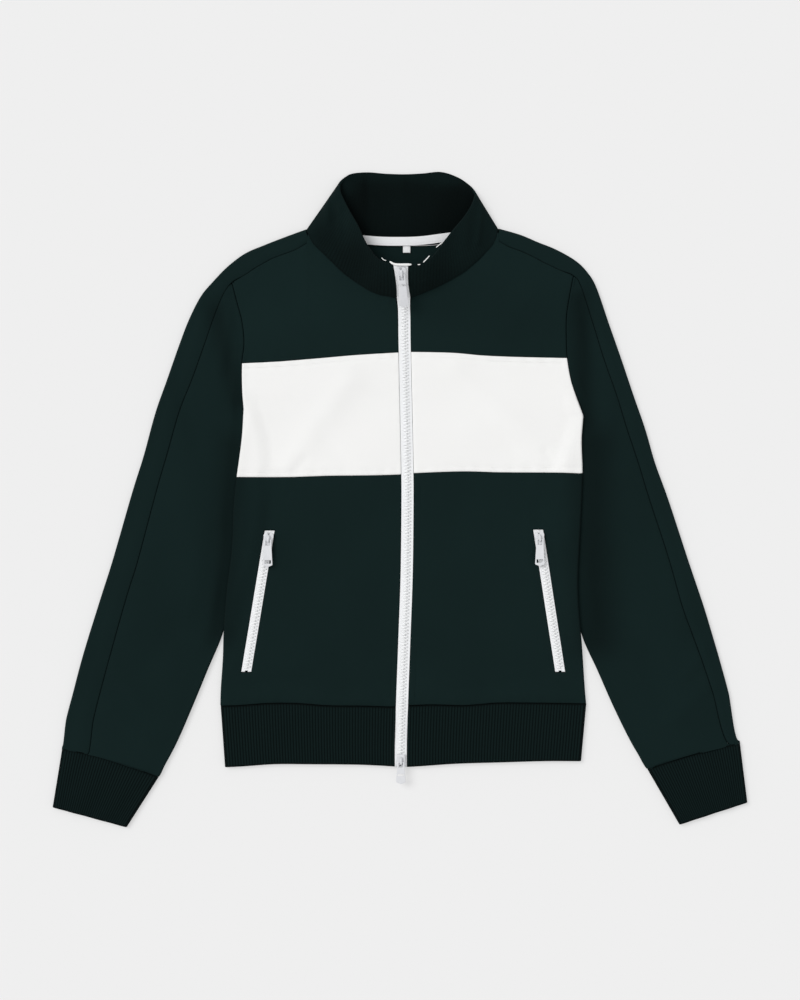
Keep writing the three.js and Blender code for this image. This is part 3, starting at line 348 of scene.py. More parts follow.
def clothWall(name, points, thickness, ring=False, keep=None, extraEdge=None, ridge=None, innerRidge=None,
              toneAndPaintedShade=(0.0, 0.0), roundSides=True):
    # A wall of cloth from a grid of outer points. Its half thickness follows a quarter circle at the cut
    # edges, so they are round. ridge raises outer points and innerRidge the inner ones; ridge also paints
    # the grooves darker. The tone pair adds a base tone and painted shade and light to their colour.
    acrossWalk, alongWalk = walked(points, 1), walked(points, 0)
    edge = np.minimum(alongWalk, alongWalk[-1:] - alongWalk)
    if not ring and roundSides:
        edge = np.minimum(edge, np.minimum(acrossWalk, acrossWalk[:, -1:] - acrossWalk))
    if extraEdge is not None:
        edge = np.minimum(edge, extraEdge)
    roundness = np.sqrt(1 - (1 - np.clip(edge / cut["edgeRound"], 0, 1)) ** 2)
    half = thickness / 2 * np.clip(roundness, 0.12, 1)[..., None]
    normal = normalsOf(points, ring)
    middle = points - normal * thickness / 2
    raised = np.zeros(points.shape[:2]) if ridge is None else ridge
    sunk = np.zeros(points.shape[:2]) if innerRidge is None else innerRidge
    outer = middle + normal * (half + raised[..., None])
    inner = middle - normal * (half + sunk[..., None])
    rowCount, columnCount = points.shape[:2]
    count = rowCount * columnCount
    cells = columnCount if ring else columnCount - 1
    row, column = np.meshgrid(np.arange(rowCount - 1), np.arange(cells), indexing="ij")
    kept = np.ones(row.shape, bool) if keep is None else keep
    a = row * columnCount + column
    b = row * columnCount + (column + 1) % columnCount
    c = b + columnCount
    d = a + columnCount

    def beside(down, across):
        # whether the next cell that way is cloth too
        if ring:
            shifted = np.roll(kept, -across, axis=1)
        else:
            shifted = np.zeros_like(kept)
            if across > 0:
                shifted[:, :-1] = kept[:, 1:]
            elif across < 0:
                shifted[:, 1:] = kept[:, :-1]
            else:
                shifted = kept.copy()
        if down > 0:
            return np.concatenate([shifted[1:], np.zeros_like(shifted[:1])])
        if down < 0:
            return np.concatenate([np.zeros_like(shifted[:1]), shifted[:-1]])
        return shifted

    faces = [np.stack([a, b, c, d], -1)[kept],
             np.stack([a + count, d + count, c + count, b + count], -1)[kept]]
    rims = {(-1, 0): (b, a), (1, 0): (d, c), (0, -1): (a, d), (0, 1): (c, b)}
    for (down, across), (start, end) in rims.items():
        rim = kept & ~beside(down, across)
        faces.append(np.stack([start, end, end + count, start + count], -1)[rim])
    uv = np.stack([acrossWalk, alongWalk], -1).reshape(-1, 2) * mm
    every = np.concatenate([outer.reshape(-1, 3), inner.reshape(-1, 3)])
    every[:, 2] = np.maximum(every[:, 2], 0)
    # the ridge mark paints the rib's grooves darker, and adds the tone pair's painted shade and light
    marks = {"ridge": np.concatenate([(raised / 0.5 + toneAndPaintedShade[0]).ravel(), (raised / 0.5 + toneAndPaintedShade[1]).ravel()]),
             # painted shade and light for the knit's colour
             "shade": bells(paintedShades, every[:, 0], every[:, 1])}
    return meshOf(name, every, np.concatenate(faces), np.concatenate([uv, uv]), marks)


def grid(x, y, z):
    return np.stack(np.broadcast_arrays(x, y, z), -1).astype(float)


def roll(x, y, top, bottom, turn, direction, steps=12, tails=3):
    # An edge that rolls down and under: a circle's arc of the turn's angle, then a straight tail.
    # Columns run from under the cloth to its top.
    radius = (top - bottom) / 2
    end = np.radians(90 - turn)
    tail = np.maximum(0.5, cut["foldTail"] * ease((turn - 90) / 90))
    reach = radius * np.cos(np.maximum(end, 0)) + np.maximum(np.sin(end), 0) * tail
    centre = x - direction * reach
    angle = np.radians(90 - turn[:, None] * (1 - np.linspace(0, 1, steps + 1)))
    arcX = centre[:, None] + direction * radius[:, None] * np.cos(angle)
    arcZ = (top - radius)[:, None] + radius[:, None] * np.sin(angle)
    away = tail[:, None] * np.linspace(1, 0, tails, endpoint=False)
    tailX = arcX[:, :1] + direction * np.sin(end)[:, None] * away
    tailZ = np.maximum(arcZ[:, :1] - np.cos(end)[:, None] * away, bottom[:, None])
    return np.concatenate([tailX, arcX], 1), np.concatenate([tailZ, arcZ], 1)


def frontPanel(name, side, lower, upper, rows, knots, chest=False, pocket=None, upperDrop=0.8):
    # One front panel. Rows are shares of the way from its lower to its upper line. knots gives, for the x
    # of the zip's edge and of the roll's top, the x of each column. The height is the body's, less its seams.
    sign = side["sign"]
    ySide = lerp(lower(np.full(len(rows), sign * 200.0)), upper(np.full(len(rows), sign * 200.0)), rows)
    edge = edgeX(side, ySide) - sign * cut["seam"] / 2
    top = bodyHeight(edge - sign * 4, ySide)
    rollX, rollZ = roll(edge, ySide, top, bodyBottom(edge - sign * 4, ySide), turnAt(side, ySide), sign)
    start = rollX[:, -1]
    zipY = lerp(lower(np.zeros(len(rows))), upper(np.full(len(rows), sign * 8.0)), rows)
    zipEdge = curve(zipMiddleLine, zipY) + sign * (cut["zipHalf"] + 0.15 + 0.8 * ease((zipY - 205) / 26))
    x = knots(start, zipEdge)[:, 1:]
    y = lerp(lower(x), upper(x), rows[:, None])
    fromLower, fromUpper = y - lower(x), upper(x) - y
    fromZip = np.abs(zipEdge[:, None] - x)
    z = bodyHeight(x, y) + seamDrop(fromLower) + seamDrop(fromUpper) * upperDrop + seamDrop(fromZip) * 0.6
    z += pucker(x, np.minimum(fromLower, fromUpper)) * ease(fromZip / 5) + pucker(y, fromZip, 7, 0.16)
    z += groove(fromZip, 7.1, 0.8, 0.55)
    if chest:
        z += groove(fromLower, 5.6, 0.8, 0.6) + groove(fromUpper, 5.6, 0.8, 0.6)
    extra = None
    if pocket is not None:
        away = pocket(x, y)
        extra = np.concatenate([np.full(rollX.shape, 50.0), away], 1)
        z += seamDrop(away) * 0.7 + groove(away, 2.6, 0.6, 0.25)
    drop = ease(np.linspace(0, 1, rollX.shape[1]))
    rollY = np.repeat(ySide[:, None], rollX.shape[1], 1)
    if pocket is not None:
        # the hem's seam lies higher on the underside
        low = 1 - ease((np.arange(rollX.shape[1]) - 4) / 5)
        rollY += cut["backShift"] * low * (1 - ease((ySide - ySide[0]) / 9))[:, None]
    rollZ = rollZ + drop * (z[:, :1] - rollZ[:, -1:])
    points = grid(np.concatenate([rollX, x], 1), np.concatenate([rollY, y], 1), np.concatenate([rollZ, z], 1))
    keep = None
    if pocket is not None:
        middle = (points[:-1, :-1] + points[1:, :-1] + points[:-1, 1:] + points[1:, 1:]) / 4
        keep = pocket(middle[..., 0], middle[..., 1]) > 0
        keep[:, :rollX.shape[1]] = True
    if sign > 0:
        points = points[:, ::-1]
        extra = None if extra is None else extra[:, ::-1]
        keep = None if keep is None else keep[:, ::-1]
    return clothWall(name, points, cut["cloth"], keep=keep, extraEdge=extra)


def collarBase(x, front):
    # the collar's seam as y over x, on the curve of its lowest row, under which the front is tucked
    place = np.linspace(0, 1, 481) * (len(collarRows) - 1)
    rows = rowsAt(collarRows, place / (len(collarRows) - 1))[:, :2]
    if not front:
        here = rows[(place >= 8) & (place <= 16)]
        return np.interp(x, here[:, 0], here[:, 1]) - 1.0
    first, last = rows[place <= 6.9][::-1], rows[place >= 17.1][::-1]
    here = np.concatenate([first, last])
    return np.interp(x, here[:, 0], here[:, 1]) + 1.0


def upperLine(x, side, front):
    corner = side["shoulder"][-1]
    outside = (x - corner[0]) * side["sign"] > 0
    shoulder = curve(side["shoulder"], x) - cut["seam"] / 2
    slope = 8.0 if front else 4.0
    return np.where(outside, shoulder, np.minimum(collarBase(x, front), corner[1] - cut["seam"] / 2
                                                 + np.abs(x - corner[0]) * slope))


def hemLine(x):
    return curve(hemSeamLine, x) + cut["seam"]


def chestEnd(x):
    return curve(chestEndLine, x)


def chestTop(x):
    return curve(chestTopLine, x)


pieces = {}


def keepPiece(piece, node, slot, body="jacket"):
    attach(piece, body)
    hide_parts(node)
    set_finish(piece, slot)
    pieces[piece.name] = piece


def makeFronts(side):
    name, sign = side["name"], side["sign"]
    half = cut["seam"] / 2

    def evenKnots(step):
        return lambda start, end: lerp(start[:, None], end[:, None], spaced(190, step)[None])

    chest = frontPanel(f"{name}_chest_cloth", side, lambda x: chestEnd(x) + half,
                       lambda x: chestTop(x) - half, spaced(135, 2.4), evenKnots(2.6), chest=True)
    keepPiece(chest, f"{name}_chest_panel", "white_knit")

    def neckKnots(start, end):
        corner = np.full(len(start), side["shoulder"][-1][0] * 1.0)
        outer = lerp(start[:, None], corner[:, None], spaced(80, 2.6)[None])
        inner = lerp(corner[:, None], end[:, None], spaced(100, 2.4)[None])
        return np.concatenate([outer, inner[:, 1:]], 1)

    yoke = frontPanel(f"{name}_yoke_cloth", side, lambda x: chestTop(x) + half,
                      lambda x: upperLine(x, side, True), spaced(110, 2.4), neckKnots, upperDrop=0.1)
    keepPiece(yoke, f"{name}_yoke", "green_knit")

    topX, topY = side["pocketTop"]
    endX, endY = side["pocketEnd"]

    def pocket(x, y):
        # the distance outside the pocket's opening, negative within it
        centre = lerp(endX, topX, (y - endY) / (topY - endY))
        beside = np.abs(x - centre) - cut["pocketHalf"]
        beyond = np.maximum(endY - y, y - topY)
        outside = np.hypot(np.maximum(beside, 0), np.maximum(beyond, 0))
        return np.where((beside < 0) & (beyond < 0), np.maximum(beside, beyond), outside)

    lowerY, upperY = float(hemLine(endX)), float(chestEnd(topX))
    stops = [(endY - lowerY) / (upperY - lowerY), (topY - lowerY) / (upperY - lowerY)]
    shares = [spaced(38, 2.4) * stops[0], stops[0] + spaced(164, 2.6)[1:] * (stops[1] - stops[0]),
              stops[1] + spaced(60, 2.4)[1:] * (1 - stops[1])]
    rows = np.concatenate(shares)

    def pocketKnots(start, end):
        y = lerp(lowerY, upperY, rows)
        centre = lerp(endX, topX, (y - endY) / (topY - endY))
        stations = [start, centre + sign * cut["pocketHalf"], centre - sign * cut["pocketHalf"], end]
        parts = []
        for first, second, share in zip(stations, stations[1:], [spaced(30, 2.4, (0, 0.3, 0.8, 1.6, 3)),
                                                                 np.linspace(0, 1, 5), spaced(150, 2.6)]):
            parts.append(lerp(first[:, None], second[:, None], share[None])[:, (1 if parts else 0):])
        return np.concatenate(parts, 1)

    lower = frontPanel(f"{name}_lower_cloth", side, hemLine, lambda x: chestEnd(x) - half, rows, pocketKnots,
                       pocket=pocket)
    keepPiece(lower, f"{name}_lower_front", "dark_green_knit")


def makeBack():
    # The back lies flat on the surface. Columns go from side seam to side seam, denser where it rises
    # over the tucked sleeves, and the upper rows bend up to the shoulders and the collar.
    rows = spaced(500, 7)
    middle = np.linspace(0.1, 0.9, 48)
    rightY = lerp(float(hemLine(right["hemTop"])), right["shoulder"][0][1], rows)
    leftY = lerp(float(hemLine(left["hemTop"])), left["shoulder"][0][1], rows)

    def limit(side, y):
        low = underRoll(side, y)
        inward = (cut["foldTail"] + cut["bodyTop"] / 2 + cut["seam"] * 2) * low + cut["backShift"] * (1 - low)
        return edgeX(side, y) - side["sign"] * inward

    startX, endX = limit(right, rightY), limit(left, leftY)
    near = np.array([0, 0.4, 1, 2, 4, 7, 10, 14, 18, 23, 28, 34])
    x = np.concatenate([startX[:, None] + near, lerp(startX[:, None], endX[:, None], middle[None])[:, 1:-1],
                        endX[:, None] - near[::-1]], 1)
    place = (x - startX[:, None]) / (endX - startX)[:, None]
    rowY = lerp(rightY[:, None], leftY[:, None], place)
    topX = lerp(right["shoulder"][0][0], left["shoulder"][0][0], place)
    topY = np.where(topX < 4, upperLine(topX, right, False), upperLine(topX, left, False))
    rise = ease((rows - 0.6) / 0.4)[:, None]
    flatTop = lerp(right["shoulder"][0][1], left["shoulder"][0][1], place)
    bend = (1 - ease(rows / 0.2))[:, None]
    shoulder = ease((np.abs(place - 0.5) - 0.24) / 0.03)
    y = rowY + rise * (topY - flatTop + 0.6 - (cut["backShift"] + 1.2) * shoulder)
    y += bend * (hemLine(x) + cut["backShift"] - lerp(rightY[0], leftY[0], place))
    points = grid(x, y, bodyBottom(x, rowY))[:, ::-1]
    piece = clothWall("back_body_cloth", points, cut["cloth"])
    keepPiece(piece, "back_body", "dark_green_knit")


def cuffSlope(share):
    return ease((share - 0.8) / 0.2)


def cuffSeam(side, x):
    # the slanted line where sleeve and cuff meet, bowed upward like half a sine
    (outerX, outerY), (endX, innerY) = side["cuffOuter"], side["cuffInner"]
    place = np.clip((x - outerX) / (endX - outerX), 0, 1)
    return lerp(outerY, innerY, place) + side["cuffBow"] * np.sin(math.pi * place)


def towardCuff(side, share, x, y, shift=0.0):
    # the last rows move onto the cuff's seam
    return lerp(y, cuffSeam(side, x) + cut["seam"] + shift, ease((share - 0.94) / 0.06))


def makeSleeve(side):
    # The back: a front flap with the shoulder strip, the outer fold as a half circle, and the flap below
    name, sign = side["name"], side["sign"]
    count = len(side["sleeve"])
    share = spaced(640, 4)
    seamX, seamY, foldX, foldY = rowsAt(side["sleeve"], share).T
    station = share * (count - 1)
    shoulder = 1 - ease((station - 4.8) / 0.8)
    outX, outY = foldX - seamX, foldY - seamY
    width = np.hypot(outX, outY)
    outX, outY = outX / width, outY / width
    collarRise = cut["neckRise"] * 0.8 * (1 - ease(station / 2.5))
    radius = (cut["bodyTop"] + collarRise) / 2
    flap = spaced(22, 1.8, (0, 0.3, 0.8, 1.6, 3))
    distance = cut["seam"] / 2 + (width - radius - cut["seam"] / 2)[:, None] * flap[None]
    flapX, flapY = seamX[:, None] + outX[:, None] * distance, seamY[:, None] + outY[:, None] * distance
    flapZ = np.where(shoulder[:, None] > 0.5, 2 * radius[:, None] + 0 * flapX,
                     sleeveHeight(side, flapX, flapY))
    loft = 0.9 * np.sin(np.pi * flap)[None] * (1 - shoulder[:, None] * 0.4)
    flapZ = flapZ + loft + seamDrop(distance) * 0.55
    flapZ = flapZ + pucker(seamY[:, None] + 0 * distance, distance, 6, 0.15)
    flapZ = flapZ + (2 * radius[:, None] - flapZ) * ease(flap)[None] ** 2
    angle = np.radians(np.linspace(90, -90, 15))[1:]
    arc = (width - radius)[:, None] + radius[:, None] * np.cos(angle)
    arcX, arcY = seamX[:, None] + outX[:, None] * arc, seamY[:, None] + outY[:, None] * arc
    arcZ = radius[:, None] + radius[:, None] * np.sin(angle)
    shoulderEndX, shoulderEndY = seamX - outX * cut["backShift"], seamY - outY * cut["backShift"]
    lowY = lerp(seamY, side["cuffInner"][1] + 1.0, cuffSlope(share))
    low = underRoll(side, lowY)
    lowX = innerX(side, lowY) + sign * (cut["seam"] + (cut["foldTail"] + cut["bodyTop"] / 2 + 0.35) * low
                                        - cut["backShift"] * (1 - low))
    onStrip = station < 5.2
    endX, endY = np.where(onStrip, shoulderEndX, lowX), np.where(onStrip, shoulderEndY, lowY)
    under = spaced(90, 6, (0, 0.4, 1, 2, 4))[1:]
    underX = lerp(arcX[:, -1:], endX[:, None], under[None])
    underY = lerp(arcY[:, -1:], endY[:, None], under[None])
    # the end at the collar is rounded, and its underside reaches further
    atCollar = (1 - ease(share / 0.016))[:, None]
    flapX = flapX - sign * 1.8 * np.sin(np.pi * flap)[None] * atCollar
    underX = underX - sign * 3.5 * atCollar
    arcX = arcX - sign * 2.0 * atCollar * ease(-3 * np.sin(angle))[None]
    down = share[:, None]
    flapY = towardCuff(side, down, flapX, flapY)
    arcY = towardCuff(side, down, arcX, arcY, cut["backShift"] * ease(-3 * np.sin(angle))[None])
    underY = towardCuff(side, down, underX, underY, cut["backShift"])
    points = grid(np.concatenate([flapX, arcX, underX], 1), np.concatenate([flapY, arcY, underY], 1),
                  np.concatenate([flapZ, arcZ, 0 * underX], 1))
    back = clothWall(f"{name}_sleeve_back_cloth", points if sign < 0 else points[:, ::-1], cut["cloth"])
    keepPiece(back, f"{name}_sleeve_back", "dark_green_knit")
    0.0845 if sign < 0 else 0.0706

    # The front: from the sleeve seam to the armhole, and below it to the roll at the inner fold
    first = 5 / (count - 1) + 0.01
    share = lerp(first, 1, spaced(560, 3.2))
    seamX, seamY, foldX, foldY = rowsAt(side["sleeve"], share).T
    outX, outY = foldX - seamX, foldY - seamY
    length = np.hypot(outX, outY)
    fromX, fromY = seamX - outX / length * cut["seam"] / 2, seamY - outY / length * cut["seam"] / 2
    endY = lerp(seamY, side["cuffInner"][1] + 1.0, cuffSlope(share))
    endX = innerX(side, endY) + sign * cut["seam"] / 2
    low = sleeveHeight(side, endX, endY)
    rollX, rollZ = roll(endX, endY, low, np.zeros(len(share)), turnAt(side, endY), -sign)
    rollX, rollZ = rollX[:, ::-1], rollZ[:, ::-1]
    across = spaced(110, 2.8)
    x = lerp(fromX[:, None], rollX[:, :1], across[None])
    y = lerp(fromY[:, None], endY[:, None], across[None])
    room = np.abs(fromX - rollX[:, 0])[:, None]
    fromSeam, fromArm = across[None] * room, (1 - across[None]) * room
    armhole = 1 - underBody(side, endY)[:, None]
    z = sleeveHeight(side, x, y) + seamDrop(fromSeam) * 0.55
    z += pucker(seamY[:, None] + 0 * x, fromSeam, 7, 0.18)
    z += (seamDrop(fromArm) + pucker(endY[:, None] + 0 * x, fromArm, 8, 0.2)) * armhole
    z += 2.2 * np.sin(np.pi * across[None] ** 0.8) * ease((room - 20) / 70)
    z += (rollZ[:, :1] - z) * ease(across[None] * 6 - 5)
    allX = np.concatenate([x, rollX[:, 1:]], 1)
    allY = np.concatenate([y, np.repeat(endY[:, None], rollX.shape[1] - 1, 1)], 1)
    low = np.concatenate([np.zeros(len(across)), ease((np.arange(rollX.shape[1] - 1) - 5) / 4)])[None]
    points = grid(allX, towardCuff(side, share[:, None], allX, allY, cut["backShift"] * low),
                  np.concatenate([z, rollZ[:, 1:]], 1))
    front = clothWall(f"{name}_sleeve_front_cloth", points[:, ::-1] if sign < 0 else points, cut["cloth"])
    keepPiece(front, f"{name}_sleeve_front", "dark_green_knit")
    0.0554 if sign < 0 else 0.0512


def ribWave(distance, pitch):
    # rounded ribs with narrow grooves: the root of a rectified sine
    return np.sqrt(np.abs(np.sin(distance * math.pi / pitch)))


def makeCuff(side):
    # a flattened ribbed tube: each row is a closed stadium, wider and slacker toward its end
    name, sign = side["name"], side["sign"]
    share = spaced(74, 3.5, (0, 0.25, 0.6, 1.1, 2, 3.5))
    fromPoint = lerp(np.array(side["cuffOuter"]), np.array(side["cuffOuterEnd"]), share[:, None])
    toPoint = lerp(np.array(side["cuffInner"]), np.array(side["cuffInnerEnd"]), share[:, None])
    across = toPoint - fromPoint
    width = np.hypot(*across.T)
    across = across / width[:, None]
    radius = cut["bodyTop"] / 2
    pitch = 3.2
    ribs = int(110 / pitch)
    flat = np.linspace(0, 1, ribs * 6 + 1)
    turn = np.radians(np.linspace(90, -90, 11))[1:-1]
    under = np.linspace(0, 1, 40)
    distance = np.concatenate([lerp(radius, width[:, None] - radius, flat), width[:, None] - radius
                               + radius * np.cos(turn), lerp(width[:, None] - radius, radius, under),
                               radius - radius * np.cos(turn) + 0 * width[:, None]], 1)
    bow = 1.3 * np.sin(np.pi * flat) * np.sin(np.pi * share[:, None])
    bow += 0.5 * np.sin(flat * 17 + share[:, None] * 3)
    z = np.concatenate([cut["bodyTop"] + bow * ease(np.minimum(flat, 1 - flat) * 8),
                        np.repeat((radius + radius * np.sin(turn))[None], len(share), 0),
                        np.zeros((len(share), len(under))),
                        np.repeat((radius - radius * np.sin(turn))[None], len(share), 0)], 1)
    x = fromPoint[:, :1] + across[:, :1] * distance
    seamBow = side["cuffBow"] * np.sin(np.pi * distance / width[:, None])
    y = fromPoint[:, 1:] + across[:, 1:] * distance + seamBow * (1 - share[:, None]) ** 2
    lowered = np.concatenate([0 * flat, ease(-3 * np.sin(turn)), np.ones(len(under)), ease(3 * np.sin(turn))])
    y += cut["backShift"] * lowered[None] * (1 - share[:, None])
    ridge = np.zeros(x.shape)
    atEnds = np.clip(np.minimum(share, 1 - share)[:, None] * 30, 0.2, 1)
    ridge[:, :len(flat)] = 0.5 * ribWave(flat * ribs, 1) * atEnds
    points = grid(x, y, z)
    if sign < 0:
        points, ridge = points[::-1], ridge[::-1]
    piece = clothWall(f"{name}_cuff_cloth", points, cut["ribCloth"], ring=True,
                      ridge=ridge - 0.25 * (ridge > 0))
    keepPiece(piece, f"{name}_cuff", "rib_knit")


def makeHem():
    # a ribbed band from one side of the zip under the jacket to the other, folded at both sides
    share = spaced(70, 3.5, (0, 0.25, 0.6, 1.1, 2, 3.5))
    radius = cut["bodyTop"] / 2
    ribs = 60
    flat = np.linspace(0, 1, ribs * 6 + 1)
    turn = np.radians(np.linspace(90, -90, 11))[1:-1]
    rightX = lerp(right["hemTop"], right["hemEnd"], share)[:, None] + radius
    leftX = lerp(left["hemTop"], left["hemEnd"], share)[:, None] - radius
    zipX = curve(zipMiddleLine, lerp(-237, -307, share))[:, None]
    x = np.concatenate([lerp(zipX - cut["zipHalf"], rightX, flat), rightX - radius * np.cos(turn),
                        lerp(rightX, leftX, np.linspace(0, 1, 60)), leftX + radius * np.cos(-turn),
                        lerp(leftX, zipX + cut["zipHalf"], flat)], 1)
    onTop = np.concatenate([np.ones(len(flat)), np.zeros(2 * len(turn) + 60), np.ones(len(flat))])[None]
    under = np.concatenate([0 * flat, ease(-3 * np.sin(turn)), np.ones(60), ease(3 * np.sin(turn)),
                            0 * flat])[None]
    top = curve(hemSeamLine, x) - cut["seam"] / 2 + under * cut["backShift"]
    y = lerp(top, curve(hemEndLine, x), share[:, None])
    wave = 0.5 * np.sin(x / 13.0) + 0.4 * np.sin(x / 29.0 + 1)
    top = cut["bodyTop"] + (wave + 0.8) * np.sin(np.pi * share[:, None]) + seamDrop(share[:, None] * 70) * 0.8
    around = np.concatenate([0 * flat, radius * np.sin(turn) + radius, np.zeros(60),
                             radius * np.sin(-turn) + radius, 0 * flat])[None]
    z = onTop * top + (1 - onTop) * around
    count = np.concatenate([flat * ribs, np.zeros(2 * len(turn) + 60), flat * ribs])[None]
    ridge = 0.5 * ribWave(count, 1) * onTop * np.clip(np.minimum(share, 1 - share)[:, None] * 30, 0.2, 1)
    piece = clothWall("hem_band_cloth", grid(x, y, z), cut["ribCloth"], ridge=ridge - 0.25 * onTop)
    keepPiece(piece, "hem_rib", "rib_knit")


def collarPoints(around, up):
    # each station's curve rises from the base to the top as a parabola that bulges outward
    rows = rowsAt(collarRows, around)
    base, top, bulge = rows[:, 0:3], rows[:, 3:6], rows[:, 6:]
    middle = (base + top) / 2 + bulge * np.array([0, -0.8, 1.4])
    up = up[:, None, None]
    points = base * (1 - up) ** 2 + middle * 2 * up * (1 - up) + top * up ** 2
    points[..., 2] = np.maximum(points[..., 2], 0)
    beside = np.exp(-(around * 34) ** 2) - np.exp(-((1 - around) * 34) ** 2)
    points[..., 0] += (0.3 + 1.2 * np.sin(np.pi * up[..., 0])) * beside
    return points


def makeCollar():
    # a standing band with faint ribs on both faces, its folds and its painted shade and light from the tables
    # above
    ribs = 150
    around = np.linspace(0, 1, ribs * 6 + 1)
    up = spaced(68, 2.6)[::-1]
    points = collarPoints(around, up)
    lift = ease((points[..., 2] - 5) / 6)
    x, y = points[..., 0], points[..., 1]
    fold = 0.7 * np.sin(around * 52 + 2)[None] * np.sin(np.pi * up)[:, None] ** 0.7
    points[..., 2] += (fold + bells(collarFolds, x, y)) * lift

    # the collar's own base tone, with the painted shade and light of a table
    def toneWithPaintedShade(table):
        return 0.42 + sum(amount * np.exp(-((x - middleX) / width) ** 2 - ((y - middleY) / length) ** 2)
                          for middleX, middleY, width, length, amount in table)

    ridge = 0.14 * ribWave(around * ribs, 1)[None] * np.clip(up[:, None] * 20, 0.3, 1)
    normal = normalsOf(points)
    piece = clothWall("collar_cloth", points, cut["collarCloth"], ridge=ridge * (normal[..., 2] > -0.1) - 0.1,
                      innerRidge=ridge - 0.1, toneAndPaintedShade=(toneWithPaintedShade(collarOuterPaintedShade), toneWithPaintedShade(collarInnerPaintedShade)))
    keepPiece(piece, "collar", "rib_knit")


print("cutting the cloth")
for side in sides:
    makeFronts(side)
    makeSleeve(side)
    makeCuff(side)
makeBack()
makeHem()
makeCollar()


# Zips
def zipLine():
    # the zip's line: rows along the body, then up the collar's front, and the flare over its top
    rowsY = np.arange(-307.0, 223.0, 4)
    x = curve(zipMiddleLine, rowsY)
    centre = grid(x, rowsY, bodyHeight(x, rowsY) - cut["zipSink"])
    half = np.full(len(rowsY), cut["zipHalf"] - 0.1)
    up = np.linspace(0.06, 1.0, 16)
    ends = collarPoints(np.array([0.0, 1.0]), up)
    collarCentre = ends.mean(1) - np.array([0, 0, cut["zipSink"]])
    centre = np.concatenate([centre, collarCentre])
    half = np.concatenate([half, (ends[:, 1, 0] - ends[:, 0, 0]) / 2 - 0.1])
    flare = np.array([[0.5, 0.5, 9.0], [1.2, 0.7, 10.0]])
    crown = collarCentre[-1] + np.stack([0 * flare[:, 0], flare[:, 0], flare[:, 1]], -1)
    centre = np.concatenate([centre, crown])
    half = np.concatenate([half, flare[:, 2]])
    along = np.gradient(centre, axis=0)
    along /= np.linalg.norm(along, axis=1, keepdims=True)
    across = np.array([1.0, 0, 0]) - along * along[:, :1]
    across /= np.linalg.norm(across, axis=1, keepdims=True)
    return {"centre": centre, "along": along, "across": across,
            "normal": np.cross(across, along), "half": half}


def strip(name, line, shares, height, thickness, roundSides=True, keep=None):
    # a strip along a zip's line: shares are places across, from 0 at one edge to 1 at the other
    places = shares(line["half"][:, None])
    lifts = height(places)
    points = (line["centre"][:, None] + line["across"][:, None] * places[..., None]
              + line["normal"][:, None] * lifts[..., None])
    return clothWall(name, points, thickness, keep=keep, roundSides=roundSides)


toothShape = {"width": 5.0, "length": 1.72, "height": 1.5, "pitch": 3.9, "apart": 1.3}


def teeth(name, line, start, end, lift):
    # one rounded block per tooth, left and right in turn, all copies of one small grid of points
    centre, along, across, normal = (line[key] for key in ("centre", "along", "across", "normal"))
    walk = np.concatenate([[0], np.cumsum(np.linalg.norm(np.diff(centre, axis=0), axis=1))])
    places = np.arange(start, walk[-1] - end, toothShape["pitch"] / 2)
    side = np.where(np.arange(len(places)) % 2 == 0, -1.0, 1.0)

    def at(values):
        return np.stack([np.interp(places, walk, values[:, axis]) for axis in range(3)], -1)

    ringTurn = np.linspace(0, 2 * math.pi, 8, endpoint=False) + math.pi / 8
    square = np.stack([np.cos(ringTurn), np.sin(ringTurn)], -1)
    square = np.sign(square) * np.abs(square) ** 0.5
    layers = []
    for size, high in ((1.0, 0.0), (1.0, 0.65), (0.72, 1.0)):
        layers.append(np.concatenate([square * size, np.full((8, 1), high)], 1))
    block = np.concatenate(layers + [np.array([[0, 0, 1.0], [0, 0, 0.0]])])
    block = block * np.array([toothShape["width"] / 2, toothShape["length"] / 2, toothShape["height"]])
    faces = [[i + 8 * k, (i + 1) % 8 + 8 * k, (i + 1) % 8 + 8 * k + 8, i + 8 * k + 8]
             for k in (0, 1) for i in range(8)]
    caps = [[16 + i, 16 + (i + 1) % 8, 24] for i in range(8)]
    caps += [[(i + 1) % 8, i, 25] for i in range(8)]
    origin = at(centre) + at(across) * (side * toothShape["apart"])[:, None] + at(normal) * lift
    points = (origin[:, None] + at(across)[:, None] * block[None, :, :1]
              + at(along)[:, None] * block[None, :, 1:2] + at(normal)[:, None] * block[None, :, 2:])
    step = np.arange(len(places))[:, None, None] * len(block)
    quads = (np.array(faces)[None] + step).reshape(-1, 4)
    triangles = (np.array(caps)[None] + step).reshape(-1, 3)
    mesh = bpy.data.meshes.new(name)
    mesh.from_pydata((points.reshape(-1, 3) * mm).tolist(), [], quads.tolist() + triangles.tolist())
    mesh.polygons.foreach_set("use_smooth", np.ones(len(mesh.polygons), dtype=bool))
    piece = bpy.data.objects.new(name, mesh)
    bpy.context.scene.collection.objects.link(piece)
    return piece


def tapeShape(low, high):
    # places across the tape between two shares of its half width
    return lambda half: lerp(low(half), high(half), spaced(6.6, 0.7, (0, 0.2, 0.5))[None])


def tapeHeight(places):
    # a woven tape, a little higher where it is folded to hold the teeth
    return 0.35 * np.exp(-((np.abs(places) - 0.6) / 1.0) ** 2)


def makeMainZip():
    line = zipLine()
    halves = {"right": (lambda half: -half, lambda half: -0.01 + 0 * half),
              "left": (lambda half: 0.01 + 0 * half, lambda half: half)}
    for name, (low, high) in halves.items():
        tape = strip(f"{name}_zip_tape_cloth", line, tapeShape(low, high), tapeHeight, cut["tapeCloth"],
                     roundSides=False)
        keepPiece(tape, f"{name}_zip_tape", "white_tape")
    keepPiece(teeth("main_zip_teeth", line, 8, 26, 0.2), "zip_coil", "zip_teeth")


